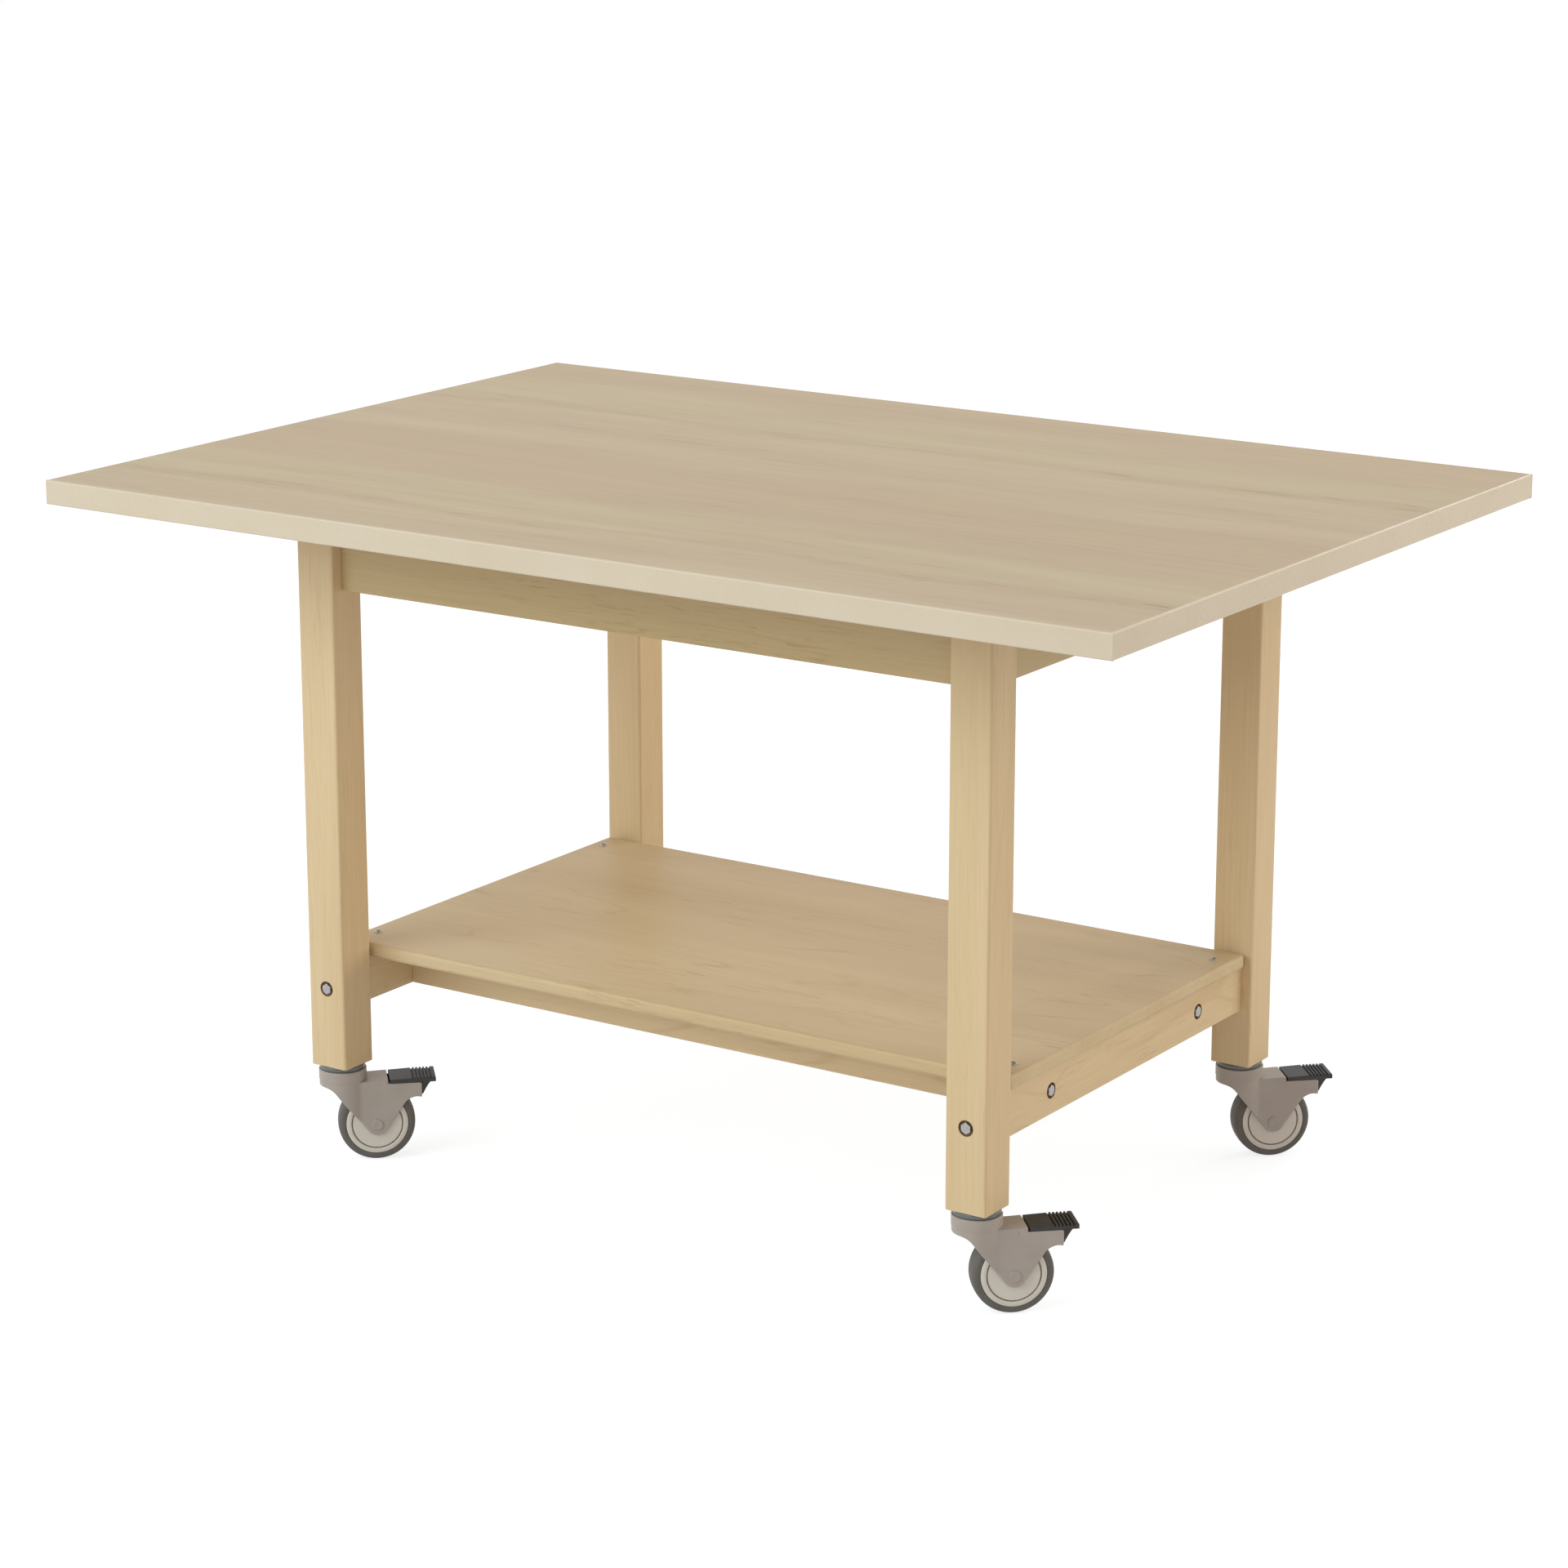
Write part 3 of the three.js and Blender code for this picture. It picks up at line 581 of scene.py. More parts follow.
def mixed(tree, amount, first, second, blend="MIX"):
    """A colour between two, or one blended over the other."""
    inputs = dict(zip(MIX_INPUTS, (amount, first, second)))
    return put(tree, "ShaderNodeMix", inputs, data_type="RGBA", blend_type=blend).outputs[MIX_RESULT]


def shaded(tree, colour, shade):
    """A colour made darker or lighter by a value."""
    grey = put(tree, "ShaderNodeCombineXYZ", {"X": shade, "Y": shade, "Z": shade}).outputs["Vector"]
    return mixed(tree, 1.0, colour, grey, "MULTIPLY")


def noises(tree, where, kinds):
    """The noises of a finish by name, each stretched by its own rate."""
    made = {}
    for key, kind in kinds.items():
        settings = dict(kind)
        made[key] = noise(tree, stretched(tree, where, settings.pop("rate")), **settings)
    return made


def bumped(tree, shader, height, strength, distance):
    """A bump on the shader's normal."""
    made = put(tree, "ShaderNodeBump", {"Height": height, "Strength": strength, "Distance": distance})
    feed(tree, shader, {"Normal": made.outputs["Normal"]})


# Finishes

def grain_space(tree, where, along):
    """Coordinates whose X runs along the grain."""
    split = put(tree, "ShaderNodeSeparateXYZ", {"Vector": where})
    order = {"X": "XYZ", "Y": "YZX", "Z": "ZXY"}[along]
    made = put(tree, "ShaderNodeCombineXYZ", {
        "X": split.outputs[order[0]], "Y": split.outputs[order[1]], "Z": split.outputs[order[2]]})
    return made.outputs["Vector"]


def solid_maple(name, along, tones, figured):
    """Lacquered maple with its grain along one axis: faint rings, short wavy wisps and fine fibres."""
    material, tree, shader, where = new_finish(name + "_" + along.lower())
    made = noises(tree, grain_space(tree, where, along), MAPLE_NOISES)
    made["ring"] = math_of(tree, "PINGPONG", math_of(tree, "MULTIPLY", made["ring"], MAPLE_RINGS), 1.0)
    light, dark = tones
    colour = mixed(tree, span(tree, made["tone"], *NOISE_CORE), paint(light), paint(dark))
    for mark, shows, place, strength, code in MAPLE_MARKS:
        marked = span(tree, made[mark], *shows)
        marked = math_of(tree, "MULTIPLY", marked, span(tree, made[mark + "_place"], *place))
        colour = mixed(tree, math_of(tree, "MULTIPLY", marked, strength * figured), colour, paint(code))
    colour = shaded(tree, colour, span(tree, made["fibre"], *NOISE_BODY, *MAPLE_SHADE))
    rough = span(tree, made["fibre"], *NOISE_REACH, *MAPLE_ROUGH)
    feed(tree, shader, {
        "Base Color": colour, "Roughness": rough, "Specular IOR Level": MAPLE_SHINE,
        "Coat Weight": MAPLE_COAT, "Coat Roughness": MAPLE_COAT_ROUGH})
    bumped(tree, shader, made["fibre"], strength=0.12, distance=0.12 * MM)
    return material


def laminate_maple():
    """The work surface: printed maple laminate, with broad bands along X that repeat across the top."""
    material, tree, shader, where = new_finish("laminate_maple")
    made = noises(tree, where, LAMINATE_NOISES)
    split = put(tree, "ShaderNodeSeparateXYZ", {"Vector": where})
    phase = math_of(tree, "MULTIPLY", split.outputs["X"], math.tau / LAMINATE_REPEAT)
    sway = math_of(tree, "MULTIPLY", math_of(tree, "SINE", phase), LAMINATE_SWAY)
    wander = span(tree, made["drift"], *NOISE_REACH, -LAMINATE_WANDER, LAMINATE_WANDER)
    from_back = math_of(tree, "SUBTRACT", cad_high.y, split.outputs["Y"])
    across = math_of(tree, "ADD", from_back, math_of(tree, "ADD", sway, wander))
    place = math_of(tree, "FRACT", math_of(tree, "DIVIDE", across, LAMINATE_REPEAT))
    bands = put(tree, "ShaderNodeValToRGB", {"Fac": place})
    ramp = bands.color_ramp
    for stop, code in LAMINATE_BANDS[1:-1]:
        ramp.elements.new(stop).color = paint(code)
    ramp.elements[0].color = paint(LAMINATE_BANDS[0][1])
    ramp.elements[-1].color = paint(LAMINATE_BANDS[-1][1])
    off_streak = math_of(tree, "ABSOLUTE", math_of(tree, "SUBTRACT", place, LAMINATE_STREAK))
    dash_place = math_of(tree, "ADD", span(tree, off_streak, *DASHES_AT_STREAK),
                         span(tree, made["cloud"], *DASHES_IN_CLOUD))
    dashes = math_of(tree, "MULTIPLY", span(tree, made["dash"], *DASH_SHOWS), dash_place)
    clouded = span(tree, made["cloud"], *NOISE_CORE, *LAMINATE_CLOUDED)
    colour = mixed(tree, clouded, bands.outputs["Color"], paint(LAMINATE_CLOUD))
    colour = mixed(tree, math_of(tree, "MULTIPLY", dashes, DASH_STRENGTH), colour, paint(LAMINATE_DASH))
    shade = math_of(tree, "MULTIPLY", span(tree, made["streak"], *NOISE_BODY, *STREAK_SHADE),
                    span(tree, made["fibre"], *NOISE_BODY, *FIBRE_SHADE))
    colour = shaded(tree, colour, shade)
    rough = span(tree, made["streak"], *NOISE_REACH, *LAMINATE_ROUGH)
    feed(tree, shader, {"Base Color": colour, "Roughness": rough, "Specular IOR Level": LAMINATE_SHINE})
    pores = noise(tree, where, scale=1400, detail=2)
    bumped(tree, shader, pores, strength=0.08, distance=0.05 * MM)
    return material


def backer_sheet():
    """Brown backer under the top, with a fine woven mottle."""
    material, tree, shader, where = new_finish("backer_sheet")
    mottle = noise(tree, where, scale=160, detail=4, roughness=0.7)
    cloud = noise(tree, where, scale=5, detail=2)
    colour = mixed(tree, span(tree, mottle, *NOISE_CORE), paint("a38a68"), paint("92795a"))
    colour = mixed(tree, span(tree, cloud, *NOISE_CORE, to_high=0.25), colour, paint("84694a"))
    rough = span(tree, mottle, *NOISE_CORE, to_low=0.6, to_high=0.75)
    feed(tree, shader, {"Base Color": colour, "Roughness": rough})
    bumped(tree, shader, mottle, strength=0.15, distance=0.1 * MM)
    return material


def panel_core():
    """Pressed wood chips of the core."""
    material, tree, shader, where = new_finish("panel_core")
    chips = put(tree, "ShaderNodeTexVoronoi", {"Vector": stretched(tree, where, scale=(180, 180, 520))})
    colour = mixed(tree, chips.outputs["Distance"], paint("c4a67c"), paint("a18258"))
    feed(tree, shader, {"Base Color": colour, "Roughness": 0.9})
    bumped(tree, shader, chips.outputs["Distance"], strength=0.4, distance=0.2 * MM)
    return material


def moulded(name, light, dark, rough, grain_scale, bump, cloud_scale=38):
    """A moulded or cast finish: two close tones in soft clouds, with a fine surface grain."""
    material, tree, shader, where = new_finish(name)
    cloud = noise(tree, where, scale=cloud_scale, detail=3)
    grain = noise(tree, where, scale=grain_scale, detail=2)
    colour = mixed(tree, span(tree, cloud, *NOISE_CORE), paint(light), paint(dark))
    feed(tree, shader, {"Base Color": colour, "Roughness": span(tree, grain, *NOISE_REACH, *rough)})
    bumped(tree, shader, grain, strength=bump, distance=0.05 * MM)
    return material


def zinc_steel():
    """Zinc-plated steel with dull spots."""
    material, tree, shader, where = new_finish("zinc_steel")
    spots = noise(tree, where, scale=420, detail=3)
    colour = mixed(tree, span(tree, spots, *NOISE_CORE), paint("b4b0b1"), paint("a09c9e"))
    rough = span(tree, spots, *NOISE_CORE, to_low=0.3, to_high=0.44)
    feed(tree, shader, {"Base Color": colour, "Roughness": rough, "Metallic": 0.85})
    bumped(tree, shader, spots, strength=0.06, distance=0.03 * MM)
    return material


MAPLE = {along: solid_maple("solid_maple", along, MAPLE_TONES, FIGURED[along]) for along in "XYZ"}
# Painted shade: the aprons' darker maple
APRON_SHADE_MAPLE = {along: solid_maple("apron_shade_maple", along, APRON_SHADE_TONES, FIGURED[along]) for along in "XY"}
# Painted shade: the shelf's darker maple
SHELF_SHADE_MAPLE = solid_maple("shelf_shade_maple", "X", SHELF_SHADE_TONES, FIGURED["X"])
# Painted shade for the wood inside the counterbores
BORE_SHADE_MAPLE = solid_maple("bore_shade_maple", "X", BORE_SHADE_TONES, FIGURED["Z"])
LAMINATE = laminate_maple()
BAND = moulded(
    "edge_band", "dcceb8", "d7c8b0", rough=(0.22, 0.32), grain_scale=1100, bump=0.1, cloud_scale=9)
BACKER = backer_sheet()
CORE = panel_core()
ZINC = zinc_steel()
HOUSING = moulded("caster_housing", "b0a7a0", "aaa098", rough=(0.36, 0.48), grain_scale=900, bump=0.12)
CAP = moulded("axle_cap", "b0a7a0", "a89e96", rough=(0.42, 0.52), grain_scale=900, bump=0.1)
WHEEL = moulded("wheel_core", "dfd9d0", "d8d2c8", rough=(0.4, 0.5), grain_scale=900, bump=0.1)
TYRE = moulded("tyre_rubber", "68645f", "5f5b56", rough=(0.6, 0.75), grain_scale=700, bump=0.15)
PEDAL = moulded("pedal_black", "2e2c29", "262421", rough=(0.42, 0.55), grain_scale=800, bump=0.15)
RING = moulded("bearing_ring", "6e7375", "636869", rough=(0.28, 0.4), grain_scale=700, bump=0.1)


# Tabletop

def make_tabletop():
    """Laminate, four edge bands and backer, over the hidden core."""
    sheets = (("laminate_sheet", "tabletop_laminate", "laminate_maple", LAMINATE),
              ("backer_panel", "tabletop_backer", "backer_sheet", BACKER))
    for name, node, slot, material in sheets:
        sheet = block(name, *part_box(node))
        round_edges(sheet, SHEET_EASE, EASE_STEPS, every_edge)
        hold_flats(sheet)
        smooth(sheet)
        dress(sheet, "table", slot, material, node)
    for side in ("front", "back", "left", "right"):
        low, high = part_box("edge_band_" + side)
        strip = block("band_strip_" + side, low, high)
        axis = 1 if side in ("front", "back") else 0
        outer = max(low[axis], high[axis], key=abs)

        def on_outer_face(a, b):
            """True for the long edges of the strip's outer face."""
            along = 1 - axis
            outside = all(abs(end[axis] - outer) < MERGE for end in (a, b))
            return outside and abs(a[along] - b[along]) > BAND_ROUND

        round_edges(strip, BAND_ROUND, ROUND_STEPS, on_outer_face)
        smooth(strip)
        dress(strip, "table", "edge_band", BAND, "edge_band_" + side)
    core = frame["nodes"]["tabletop_core"]
    core.data.materials.clear()
    core.data.materials.append(CORE)


# Frame and shelf

def counterbore(obj, face, inward):
    """Sinks a flat-bottomed hole for a bolt head, with an eased rim."""
    depth = inward * COUNTERBORE_DEPTH
    hole = rod("counterbore", COUNTERBORE_RADIUS, face - depth, face + depth)
    combine(obj, hole, "DIFFERENCE")

    def on_rim(a, b):
        """True for the edges round the mouth of the hole."""
        for point in (a, b):
            away = point - face
            if abs(away.dot(inward)) > MERGE or abs(away.length - COUNTERBORE_RADIUS) > MERGE:
                return False
        return True

    round_edges(obj, COUNTERBORE_EASE, EASE_STEPS, on_rim)


def paint_bore_shade(obj, face, inward):
    """Paints shade on the wood inside a counterbore: its faces take a much darker copy of the maple."""
    if len(obj.data.materials) == 1:
        obj.data.materials.append(BORE_SHADE_MAPLE)
    for polygon in obj.data.polygons:
        away = polygon.center - face
        depth = away.dot(inward)
        aside = (away - depth * inward).length
        if COUNTERBORE_EASE < depth < COUNTERBORE_DEPTH + MERGE and aside < COUNTERBORE_RADIUS:
            polygon.material_index = 1


def make_legs():
    """Square legs with rounded edges and a counterbore for the bolt into the end rail."""
    for corner in CORNERS:
        low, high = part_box("leg_" + corner)
        leg = block("leg_post_" + corner, low, high)
        round_edges(leg, LEG_ROUND, ROUND_STEPS, lambda a, b: abs(a.z - b.z) > LEG_ROUND)
        round_edges(leg, LEG_END_EASE, EASE_STEPS, lambda a, b: a.z == b.z)
        hold_flats(leg)
        bolt_low, bolt_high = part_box("leg_bolt_" + corner)
        middle = (bolt_low + bolt_high) / 2
        front = corner.startswith("front")
        face = Vector((middle.x, low.y if front else high.y, middle.z))
        inward = Vector((0, 1 if front else -1, 0))
        counterbore(leg, face, inward)
        smooth(leg)
        dress(leg, "table", "solid_maple", MAPLE["Z"], "leg_" + corner)
        paint_bore_shade(leg, face, inward)


def make_boards():
    """Aprons, stretchers and end rails, all with eased edges, and counterbores in the end rails."""
    boards = [
        ("apron_front", "X"), ("apron_back", "X"), ("apron_left", "Y"), ("apron_right", "Y"),
        ("stretcher_front", "X"), ("stretcher_back", "X"), ("end_rail_left", "Y"),
        ("end_rail_right", "Y")]
    for node, along in boards:
        low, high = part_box(node)
        board = block(node + "_board", low, high)
        round_edges(board, BOARD_EASE, BOARD_STEPS, every_edge)
        hold_flats(board)
        bores = []
        if node.startswith("end_rail"):
            side = node.split("_")[-1]
            outer = low.x if side == "left" else high.x
            inward = Vector((1 if side == "left" else -1, 0, 0))
            for end in ("front", "back"):
                bolt_low, bolt_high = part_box("rail_bolt_" + end + "_" + side)
                middle = (bolt_low + bolt_high) / 2
                face = Vector((outer, middle.y, middle.z))
                counterbore(board, face, inward)
                bores.append((face, inward))
        smooth(board)
        # The aprons take the darker maple, painted shade for the shade under the top
        finish = APRON_SHADE_MAPLE if node.startswith("apron") else MAPLE
        dress(board, "table", "solid_maple", finish[along], node)
        for face, inward in bores:
            paint_bore_shade(board, face, inward)


def make_corner_blocks():
    """Notched glue blocks in the corners under the top."""
    for corner in CORNERS:
        low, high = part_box("corner_block_" + corner)
        leg_low, leg_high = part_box("leg_" + corner)
        right = corner.endswith("right")
        back = corner.startswith("back")
        near_x, far_x = (low.x, high.x) if right else (high.x, low.x)
        near_y, far_y = (low.y, high.y) if back else (high.y, low.y)
        leg_x = leg_low.x if right else leg_high.x
        leg_y = leg_low.y if back else leg_high.y
        plan = [(near_x, far_y), (leg_x, far_y), (leg_x, leg_y), (far_x, leg_y), (far_x, near_y)]
        points = [Vector((x, y, low.z)) for x, y in plan]
        wedge = prism("glue_block_" + corner, points, Vector((0, 0, high.z - low.z)))
        round_edges(wedge, BOARD_EASE, EASE_STEPS, every_edge)
        smooth(wedge)
        dress(wedge, "table", "solid_maple", MAPLE["X"], "corner_block_" + corner)


def make_shelf():
    """Shelf board with every edge rounded over."""
    low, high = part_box("lower_shelf")
    shelf = block("shelf_board", low, high)
    round_edges(shelf, SHELF_ROUND, SHELF_STEPS, every_edge)
    hold_flats(shelf)
    smooth(shelf)
    # The shelf takes the darker maple, painted shade for the shade under the top
    dress(shelf, "table", "solid_maple", SHELF_SHADE_MAPLE, "lower_shelf")


# Fasteners

def model_bolt(shank):
    """A hex lag bolt along +X with the underside of its head at the origin."""
    corner_radius = BOLT_FLATS / math.sqrt(3)
    top = Vector((-BOLT_HEAD, 0, 0))
    bolt = rod("lag_bolt", corner_radius, Vector((0, 0, 0)), top, sides=6)
    taper = BOLT_HEAD * math.sqrt(3)
    bpy.ops.object.select_all(action="DESELECT")
    bpy.ops.mesh.primitive_cone_add(
        vertices=ROD_SIDES, radius1=BOLT_FLAT_FACE + taper, radius2=BOLT_FLAT_FACE, depth=BOLT_HEAD,
        location=top / 2, rotation=(0, -math.pi / 2, 0))
    combine(bolt, named("chamfer"), "INTERSECT")
    round_sharp_edges(bolt, BOLT_EASE, EASE_STEPS)
    stalk = rod("stalk", BOLT_RADIUS, top / 2, Vector((shank, 0, 0)), sides=24)
    round_edges(stalk, BOLT_TIP_ROUND, BOLT_TIP_STEPS, lambda a, b: min(a.x, b.x) > shank - MERGE)
    combine(bolt, stalk, "UNION")
    smooth(bolt)
    return bolt


def make_bolts():
    """Leg bolts and rail bolts, each kind modelled once and copied."""
    for kind, axis in (("leg_bolt", 1), ("rail_bolt", 0)):
        low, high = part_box(kind + "_front_left")
        model = model_bolt(high[axis] - low[axis] - BOLT_HEAD)
        for corner in CORNERS:
            node = kind + "_" + corner
            low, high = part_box(node)
            place = (low + high) / 2
            outward_low = corner.startswith("front") if axis == 1 else corner.endswith("left")
            place[axis] = low[axis] + BOLT_HEAD if outward_low else high[axis] - BOLT_HEAD
            turn = (math.pi / 2 if axis == 1 else 0) + (0 if outward_low else math.pi)
            bolt = copy_to(model, "hex_" + node, place, turn)
            dress(bolt, "table", "zinc_steel", ZINC, node)
        bpy.data.objects.remove(model)


def make_shelf_screws():
    """Pan-head screws with a cross recess."""
    low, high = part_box("shelf_screw_front_left")
    seat = high.z - SCREW_HEAD
    profile = [
        (0, low.z), (SCREW_RADIUS, low.z + SCREW_POINT), (SCREW_RADIUS, seat), (SCREW_HEAD_RADIUS, seat),
        *bend((SCREW_HEAD_RADIUS, seat + SCREW_HEAD_EDGE), (SCREW_HEAD_CROWN, high.z), (0, high.z), 8)]
    model = turned("pan_screw", profile, steps=40)
    for arm in (Vector((CROSS_LENGTH, CROSS_WIDTH, 0)), Vector((CROSS_WIDTH, CROSS_LENGTH, 0))):
        corner = arm / 2
        foot = Vector((-corner.x, -corner.y, high.z - CROSS_DEPTH))
        head = Vector((corner.x, corner.y, high.z + OVERCUT))
        combine(model, block("cross", foot, head), "DIFFERENCE")
    smooth(model)
    for corner in CORNERS:
        node = "shelf_screw_" + corner
        low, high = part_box(node)
        place = (low + high) / 2
        place.z = 0
        screw = copy_to(model, "pan_head_" + node, place, SCREW_TURN)
        dress(screw, "table", "zinc_steel", ZINC, node)
    bpy.data.objects.remove(model)


# Casters

def model_ring():
    """Stem and bearing ring, with the ring undercut over the collar."""
    shoulder = arc((RING_RADIUS - RING_ROUND, RING_TOP - RING_ROUND), RING_ROUND, 90, 0, 5)
    neck = RING_RADIUS - RING_UNDERCUT
    lower = RING_FOOT + RING_UNDERCUT
    stem_top = RING_TOP + STEM_LENGTH
    ring = turned("bearing_ring", [
        (0, stem_top), (STEM_RADIUS, stem_top), (STEM_RADIUS, RING_TOP), *shoulder,
        (RING_RADIUS, lower), (neck, lower - RING_UNDERCUT / 3), (neck, RING_FOOT),
        (SWIVEL_RADIUS, RING_FOOT), (SWIVEL_RADIUS, SWIVEL_FOOT), (0, SWIVEL_FOOT)])
    smooth(ring)
    return ring


def fork_side():
    """Cheek outline: V-shaped down to the axle, with a lip over the back of the wheel."""
    front = 180 + math.degrees(FORK_FRONT_LEAN)
    back = 360 - math.degrees(FORK_BACK_LEAN)
    tip = arc((TRAIL, AXLE_HEIGHT), FORK_TIP, front, back, 18)

    def front_edge(height):
        """How far along u the leaning front edge is at a height."""
        return tip[0][0] - (height - tip[0][1]) * math.tan(FORK_FRONT_LEAN)

    def back_edge(height):
        """How far along u the leaning back edge is at a height."""
        return tip[-1][0] + (height - tip[-1][1]) * math.tan(FORK_BACK_LEAN)

    throat = BODY_FOOT - THROAT_ROUND
    lip_foot = LIP_HEIGHT - LIP_ROUND
    return [
        (-BODY_RADIUS - OVERCUT, DECK_START[1]), (-BODY_RADIUS - OVERCUT, BODY_FOOT),
        *bend((front_edge(BODY_FOOT) - THROAT_ROUND, BODY_FOOT), (front_edge(BODY_FOOT), BODY_FOOT),
              (front_edge(throat), throat), 8),
        *tip,
        *bend((back_edge(lip_foot), lip_foot), (back_edge(LIP_HEIGHT) + LIP_BEND, LIP_HEIGHT),
              (FORK_END - LIP_ROUND, LIP_HEIGHT), 8),
        (FORK_END, LIP_HEIGHT - LIP_DROP),
        *arc((FORK_END - RIM_ROUND, FORK_RIM - RIM_ROUND), RIM_ROUND, 0, 90, 5),
        (DECK_END[0], FORK_RIM), DECK_END, DECK_START]


def fork_plan():
    """Housing from above: round under the swivel, a fillet into each cheek, and round cheek ends."""
    reach = BODY_RADIUS + BODY_FILLET
    across = CHEEK_OUTER + BODY_FILLET
    meet = math.degrees(math.asin(across / reach))
    fillet_u = math.sqrt(reach ** 2 - across ** 2)
    end_u = FORK_END + CHEEK_SPARE - CHEEK_ROUND
    end_v = CHEEK_OUTER - CHEEK_ROUND
    return [
        *arc((fillet_u, -across), BODY_FILLET, 90, 180 - meet, 6),
        *arc((0, 0), BODY_RADIUS, -meet, meet - 360, 44)[1:-1],
        *arc((fillet_u, across), BODY_FILLET, 180 + meet, 270, 6),
        *arc((end_u, end_v), CHEEK_ROUND, 90, 0, 6),
        *arc((end_u, -end_v), CHEEK_ROUND, 0, -90, 6)]


def deck_lip():
    """Side outline of the deck's crisp end, which leans as the lifted pedal's heel does."""
    slope = (DECK_END[1] - DECK_START[1]) / (DECK_END[0] - DECK_START[0])
    end = DECK_END[1] + (DECK_LIP_END - DECK_END[0]) * slope - DECK_LIP_SINK
    start = DECK_END[1] + (DECK_LIP_START - DECK_END[0]) * slope - DECK_LIP_SINK
    return [
        (DECK_LIP_START, start), (DECK_LIP_START, DECK_LIP_FOOT[1]), DECK_LIP_FOOT,
        (DECK_LIP_END, end - DECK_LIP_EASE), (DECK_LIP_END - DECK_LIP_EASE, end)]


def model_fork():
    """Fork housing: collar, deck and two cheeks round the wheel, cast in one."""
    plan = [Vector((u, v, 0)) for u, v in fork_plan()]
    fork = prism("fork_housing", plan, Vector((0, 0, COLLAR_TOP)))
    combine(fork, slab("side", fork_side(), 2 * CHEEK_OUTER), "INTERSECT")
    inner = Vector((0, CHEEK_INNER, 0))
    axle = Vector((TRAIL, 0, AXLE_HEIGHT))
    combine(fork, rod("wheel_room", WHEEL_ROOM, axle - inner, axle + inner, sides=72), "DIFFERENCE")
    pocket_low = Vector((POCKET_START, -CHEEK_INNER, POCKET_FOOT))
    pocket_high = Vector((FORK_END + OVERCUT, CHEEK_INNER, COLLAR_TOP))
    combine(fork, block("pedal_room", pocket_low, pocket_high), "DIFFERENCE")
    round_sharp_edges(fork, FORK_EASE, ROUND_STEPS, FORK_MERGE)
    combine(fork, slab("deck_lip", deck_lip(), CHEEK_OUTER - FORK_EASE), "UNION")
    for side in (-1, 1):
        tick = Vector((TICK_PLACE[0], side * CHEEK_OUTER, TICK_PLACE[1]))
        reach = Vector((TICK_SIZE[0] / 2, TICK_DEPTH, TICK_SIZE[1] / 2))
        combine(fork, block("mould_tick", tick - reach, tick + reach), "DIFFERENCE")
    rim = arc((COLLAR_RADIUS - COLLAR_ROUND, COLLAR_TOP - COLLAR_ROUND), COLLAR_ROUND, 90, 0, 4)
    bore = SWIVEL_RADIUS + SWIVEL_GAP
    collar = turned("collar", [
        (bore, COLLAR_TOP), *rim, (COLLAR_RADIUS, COLLAR_STEP),
        (BODY_RADIUS, COLLAR_STEP - COLLAR_CHAMFER), (BODY_RADIUS, COLLAR_FOOT), (bore, COLLAR_FOOT),
        (bore, COLLAR_TOP)])
    combine(fork, collar, "UNION")
    smooth(fork)
    return fork


def model_wheel():
    """Wheel core: flat faces with a ring groove and a beaded rim."""
    groove_in = GROOVE_RADIUS - GROOVE_HALF
    groove_out = GROOVE_RADIUS + GROOVE_HALF
    floor = HUB_HALF - GROOVE_DEPTH
    edge = HUB_HALF - BEAD_RISE
    half = [
        (HUB_BORE, HUB_HALF), (groove_in - GROOVE_EASE, HUB_HALF), (groove_in, HUB_HALF - GROOVE_EASE),
        (groove_in, floor), (groove_out, floor), (groove_out, HUB_HALF - GROOVE_EASE),
        (groove_out + GROOVE_EASE, HUB_HALF), (BEAD_RADIUS - GROOVE_EASE, HUB_HALF + BEAD_RISE),
        (BEAD_RADIUS, HUB_HALF + BEAD_RISE / 2),
        *bend((RIM_RADIUS - RIM_LIP, edge), (RIM_RADIUS, edge), (RIM_RADIUS, edge - RIM_LIP), 4)]
    other = [(radius, -across) for radius, across in reversed(half)]
    wheel = turned("wheel_core", [*half, *other, half[0]], "Y")
    smooth(wheel)
    return wheel


def model_tyre():
    """Soft tyre with round shoulders and a low crown."""
    bore = RIM_RADIUS + TYRE_GAP
    shoulder = WHEEL_RADIUS - TYRE_CROWN - TYRE_ROUND
    half = bend((bore, TYRE_HALF - TYRE_LIP), (bore, TYRE_HALF), (bore + TYRE_LIP, TYRE_HALF), 3)
    turn = arc((TYRE_HALF - TYRE_ROUND, shoulder), TYRE_ROUND, 0, TYRE_SHOULDER_TURN, 8)
    half += [(radius, across) for across, radius in turn]
    half.append((WHEEL_RADIUS - TYRE_CROWN / 4, TYRE_HALF / 3))
    other = [(radius, -across) for radius, across in reversed(half)]
    tyre = turned("soft_tyre", [*half, (WHEEL_RADIUS, 0), *other, half[0]], "Y")
    smooth(tyre)
    return tyre


def model_axle():
    """Axle with a rounded, dished cap on each cheek."""
    seat = CHEEK_OUTER - CAP_SINK
    top = CHEEK_OUTER + CAP_HEIGHT
    edge = arc((top - CAP_ROUND, CAP_RADIUS - CAP_ROUND), CAP_ROUND, 0, 90, 5)
    half = [
        (0, top - CAP_DISH), (CAP_DISH_RADIUS - CAP_DISH_EASE, top - CAP_DISH),
        (CAP_DISH_RADIUS, top - CAP_DISH / 4)]
    half += [(radius, along) for along, radius in edge]
    half += [(CAP_RADIUS, seat), (AXLE_RADIUS, seat)]
    other = [(radius, -across) for radius, across in reversed(half)]
    axle = turned("axle_caps", [*half, *other], "Y", steps=48)
    smooth(axle)
    return axle


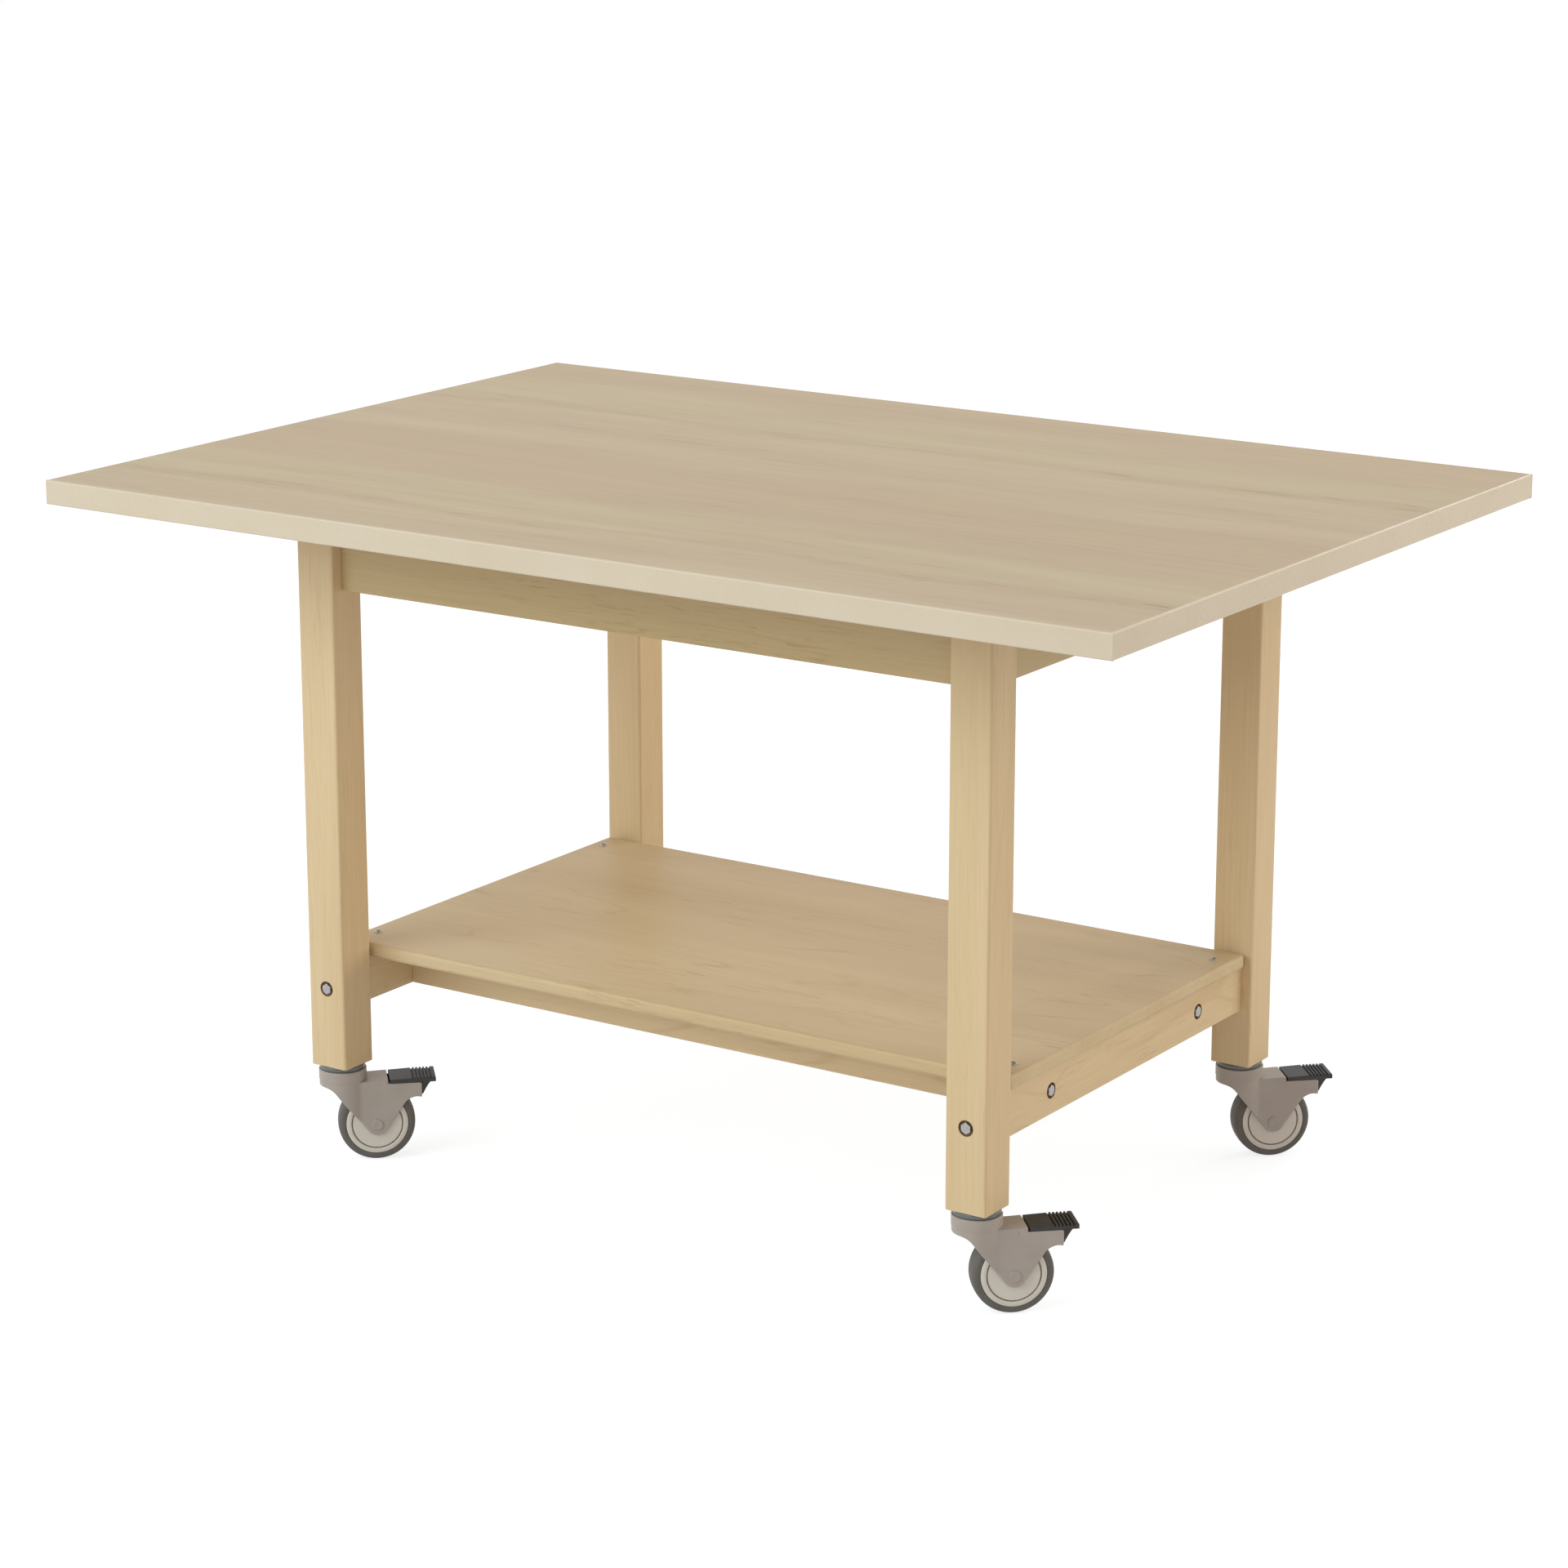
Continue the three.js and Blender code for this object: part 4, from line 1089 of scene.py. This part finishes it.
def pedal_plate():
    """Side outline of the tread plate, with rounded ribs over the tip."""
    ribs_start = PEDAL_END - RIBS_INSET - RIBS * RIB_PITCH
    quarter = RIB_PITCH / 4
    outline = [(PEDAL_START, PEDAL_FOOT + HEEL_LIFT), (PIVOT_U, PEDAL_FOOT), (PEDAL_END, PEDAL_FOOT)]
    outline += arc((PEDAL_END - TIP_ROUND, RIB_TOP - TIP_ROUND), TIP_ROUND, 0, 90, 4)
    for rib in reversed(range(RIBS)):
        start = ribs_start + rib * RIB_PITCH
        outline += arc((start + 3 * quarter, RIB_TOP - RIB_ROUND), RIB_ROUND, 90, 180 - RIB_LEAN, 3)
        outline += [(start + 2 * quarter, RIB_FOOT), (start + quarter, RIB_FOOT)]
        if rib:
            outline += arc((start, RIB_TOP - RIB_ROUND), RIB_ROUND, RIB_LEAN, 90, 3)
    outline.append((ribs_start, PEDAL_TOP))
    top = (PEDAL_START + PEDAL_ROUND, PEDAL_HEEL)
    corner = (PEDAL_START, PEDAL_HEEL)
    outline += bend(top, corner, (PEDAL_START, PEDAL_HEEL - PEDAL_ROUND), 4)
    return outline


def pedal_body():
    """Side outline of the pedal's body between the cheeks, with the hollow-backed tail."""
    top = PEDAL_FOOT + PLATE_OVERLAP
    return [
        (PIVOT_U - KNUCKLE, top), *arc((PIVOT_U, PIVOT_HEIGHT), KNUCKLE, 180, 270, 6),
        (BELLY_END, BELLY_HEIGHT), (TAIL_START, TAIL_FOOT),
        *bend((TAIL_END, TAIL_FOOT), TAIL_BEND, (TAIL_TOP, top), 12)]


def model_pedal():
    """Brake pedal: ribbed tread plate, body and pivot pin in one moulding."""
    pedal = slab("ribbed_pedal", pedal_plate(), PEDAL_HALF)

    def on_cap(a, b):
        """True for the edges round the plate's two end outlines."""
        return abs(a.y - b.y) < MERGE

    round_edges(pedal, PEDAL_EASE, EASE_STEPS, on_cap)
    body = slab("body", pedal_body(), PEDAL_BODY_HALF)
    round_edges(body, PEDAL_EASE, EASE_STEPS, on_cap)
    combine(pedal, body, "UNION")
    pivot = Vector((PIVOT_U, 0, PIVOT_HEIGHT))
    reach = Vector((0, PIVOT_HALF, 0))
    combine(pedal, rod("pivot", PIVOT_RADIUS, pivot - reach, pivot + reach, sides=24), "UNION")
    smooth(pedal)
    return pedal


def make_casters():
    """Four like casters, modelled once and copied to the corners."""
    parts = [
        (model_ring(), "bearing_ring", "caster_stem", "table", "bearing_ring", RING),
        (model_fork(), "fork_housing", "caster_fork", "swivel", "caster_housing", HOUSING),
        (model_axle(), "axle_caps", "caster_axle", "swivel", "axle_cap", CAP),
        (model_wheel(), "wheel_disc", "caster_wheel", "wheel", "wheel_core", WHEEL),
        (model_tyre(), "soft_tyre", "caster_tyre", "wheel", "tyre_rubber", TYRE),
        (model_pedal(), "ribbed_pedal", "brake_pedal", "pedal", "pedal_black", PEDAL)]
    for model, piece, node, body, slot, material in parts:
        for corner in CORNERS:
            place = Vector(joints["swivel_turn_" + corner]["pos_m"])
            place.z = 0
            made = copy_to(model, piece + "_" + corner, place, HEADING)
            carrier = body if body == "table" else body + "_" + corner
            dress(made, carrier, slot, material, node + "_" + corner)
        bpy.data.objects.remove(model)


# Stage: floor, background, lights and camera

FLOOR_SIZE = 24.0
FLOOR_GLOW = 0.8
FLOOR_CATCH = (0.36, 0.405, 0.455, 1.0)
FLOOR_BOUNCE = (0.78, 0.78, 0.78, 1.0)
SKY_LIGHT = 0.56
SKY_TINT = (1.0, 0.905, 0.86, 1.0)
WHITE = (1.0, 1.0, 1.0, 1.0)
TABLE_MIDDLE = Vector((0, 0, 0.5))
FLOOR_MIDDLE = Vector((0, 0, 0))


def background_rays(tree):
    """1 for rays that show the background: from the camera, in reflections and through glass."""
    path = put(tree, "ShaderNodeLightPath")
    glossy = math_of(tree, "MAXIMUM", path.outputs["Is Glossy Ray"], path.outputs["Is Transmission Ray"])
    return math_of(tree, "MAXIMUM", path.outputs["Is Camera Ray"], glossy)


def make_floor():
    """White floor that keeps a soft shadow, and bounces a little light."""
    bpy.ops.object.select_all(action="DESELECT")
    bpy.ops.mesh.primitive_plane_add(size=FLOOR_SIZE, location=(0, 0, 0))
    floor = named("floor")
    material = bpy.data.materials.new("floor_white")
    material.use_nodes = True
    tree = material.node_tree
    tree.nodes.clear()
    glow = put(tree, "ShaderNodeEmission", {"Color": WHITE, "Strength": FLOOR_GLOW})
    catch = put(tree, "ShaderNodeBsdfDiffuse", {"Color": FLOOR_CATCH})
    seen = put(tree, "ShaderNodeAddShader", {0: glow.outputs[0], 1: catch.outputs[0]})
    bounce = put(tree, "ShaderNodeBsdfDiffuse", {"Color": FLOOR_BOUNCE})
    choose = put(tree, "ShaderNodeMixShader", {
        0: background_rays(tree), 1: bounce.outputs[0], 2: seen.outputs[0]})
    put(tree, "ShaderNodeOutputMaterial", {"Surface": choose.outputs[0]})
    floor.data.materials.append(material)


def make_sky():
    """White background, and an even light from all round."""
    world = bpy.data.worlds.new("studio")
    bpy.context.scene.world = world
    world.use_nodes = True
    tree = world.node_tree
    sky = tree.nodes["Background"]
    rays = background_rays(tree)
    feed(tree, sky, {
        "Color": mixed(tree, rays, SKY_TINT, WHITE), "Strength": span(tree, rays, 0, 1, SKY_LIGHT, 1.0)})


def make_lamp(name, place, target, size, power, colour):
    """A square soft light that looks at a point, with its side in metres and its power in watts."""
    place = Vector(place)
    light = bpy.data.lights.new(name, "AREA")
    light.shape = "SQUARE"
    light.size = size
    light.energy = power
    light.color = colour
    lamp = bpy.data.objects.new(name, light)
    bpy.context.scene.collection.objects.link(lamp)
    lamp.location = place
    lamp.rotation_euler = (target - place).to_track_quat("-Z", "Y").to_euler()


def make_camera():
    """The camera at the photograph's place."""
    camera = bpy.data.objects.new("camera", bpy.data.cameras.new("camera"))
    bpy.context.scene.collection.objects.link(camera)
    camera.data.lens = CAMERA_LENS
    camera.data.sensor_width = CAMERA_SENSOR
    camera.location = CAMERA_PLACE
    camera.rotation_euler = (math.pi / 2 - CAMERA_PITCH, 0, CAMERA_AZIMUTH)
    bpy.context.scene.camera = camera


make_camera()
make_floor()
make_sky()
make_lamp(
    "key", place=(-3.48, -7.46, 5.25), target=TABLE_MIDDLE, size=7.5, power=463,
    colour=(0.87, 1.0, 0.99))
make_lamp(
    "fill", place=(5.6, 5.4, 2.6), target=TABLE_MIDDLE, size=4.6, power=160,
    colour=(1.0, 0.95, 0.7))
make_lamp(
    "edge", place=(1.14, 5.36, 3.34), target=TABLE_MIDDLE, size=1.2, power=36,
    colour=(1.0, 0.98, 0.95))
make_lamp(
    "under_top", place=(0, 0, 0.8), target=FLOOR_MIDDLE, size=0.6, power=0.62,
    colour=(1.0, 0.97, 0.88))
make_tabletop()
make_legs()
make_boards()
make_corner_blocks()
make_shelf()
make_bolts()
make_shelf_screws()
make_casters()

bpy.context.scene.view_settings.view_transform = "Standard"
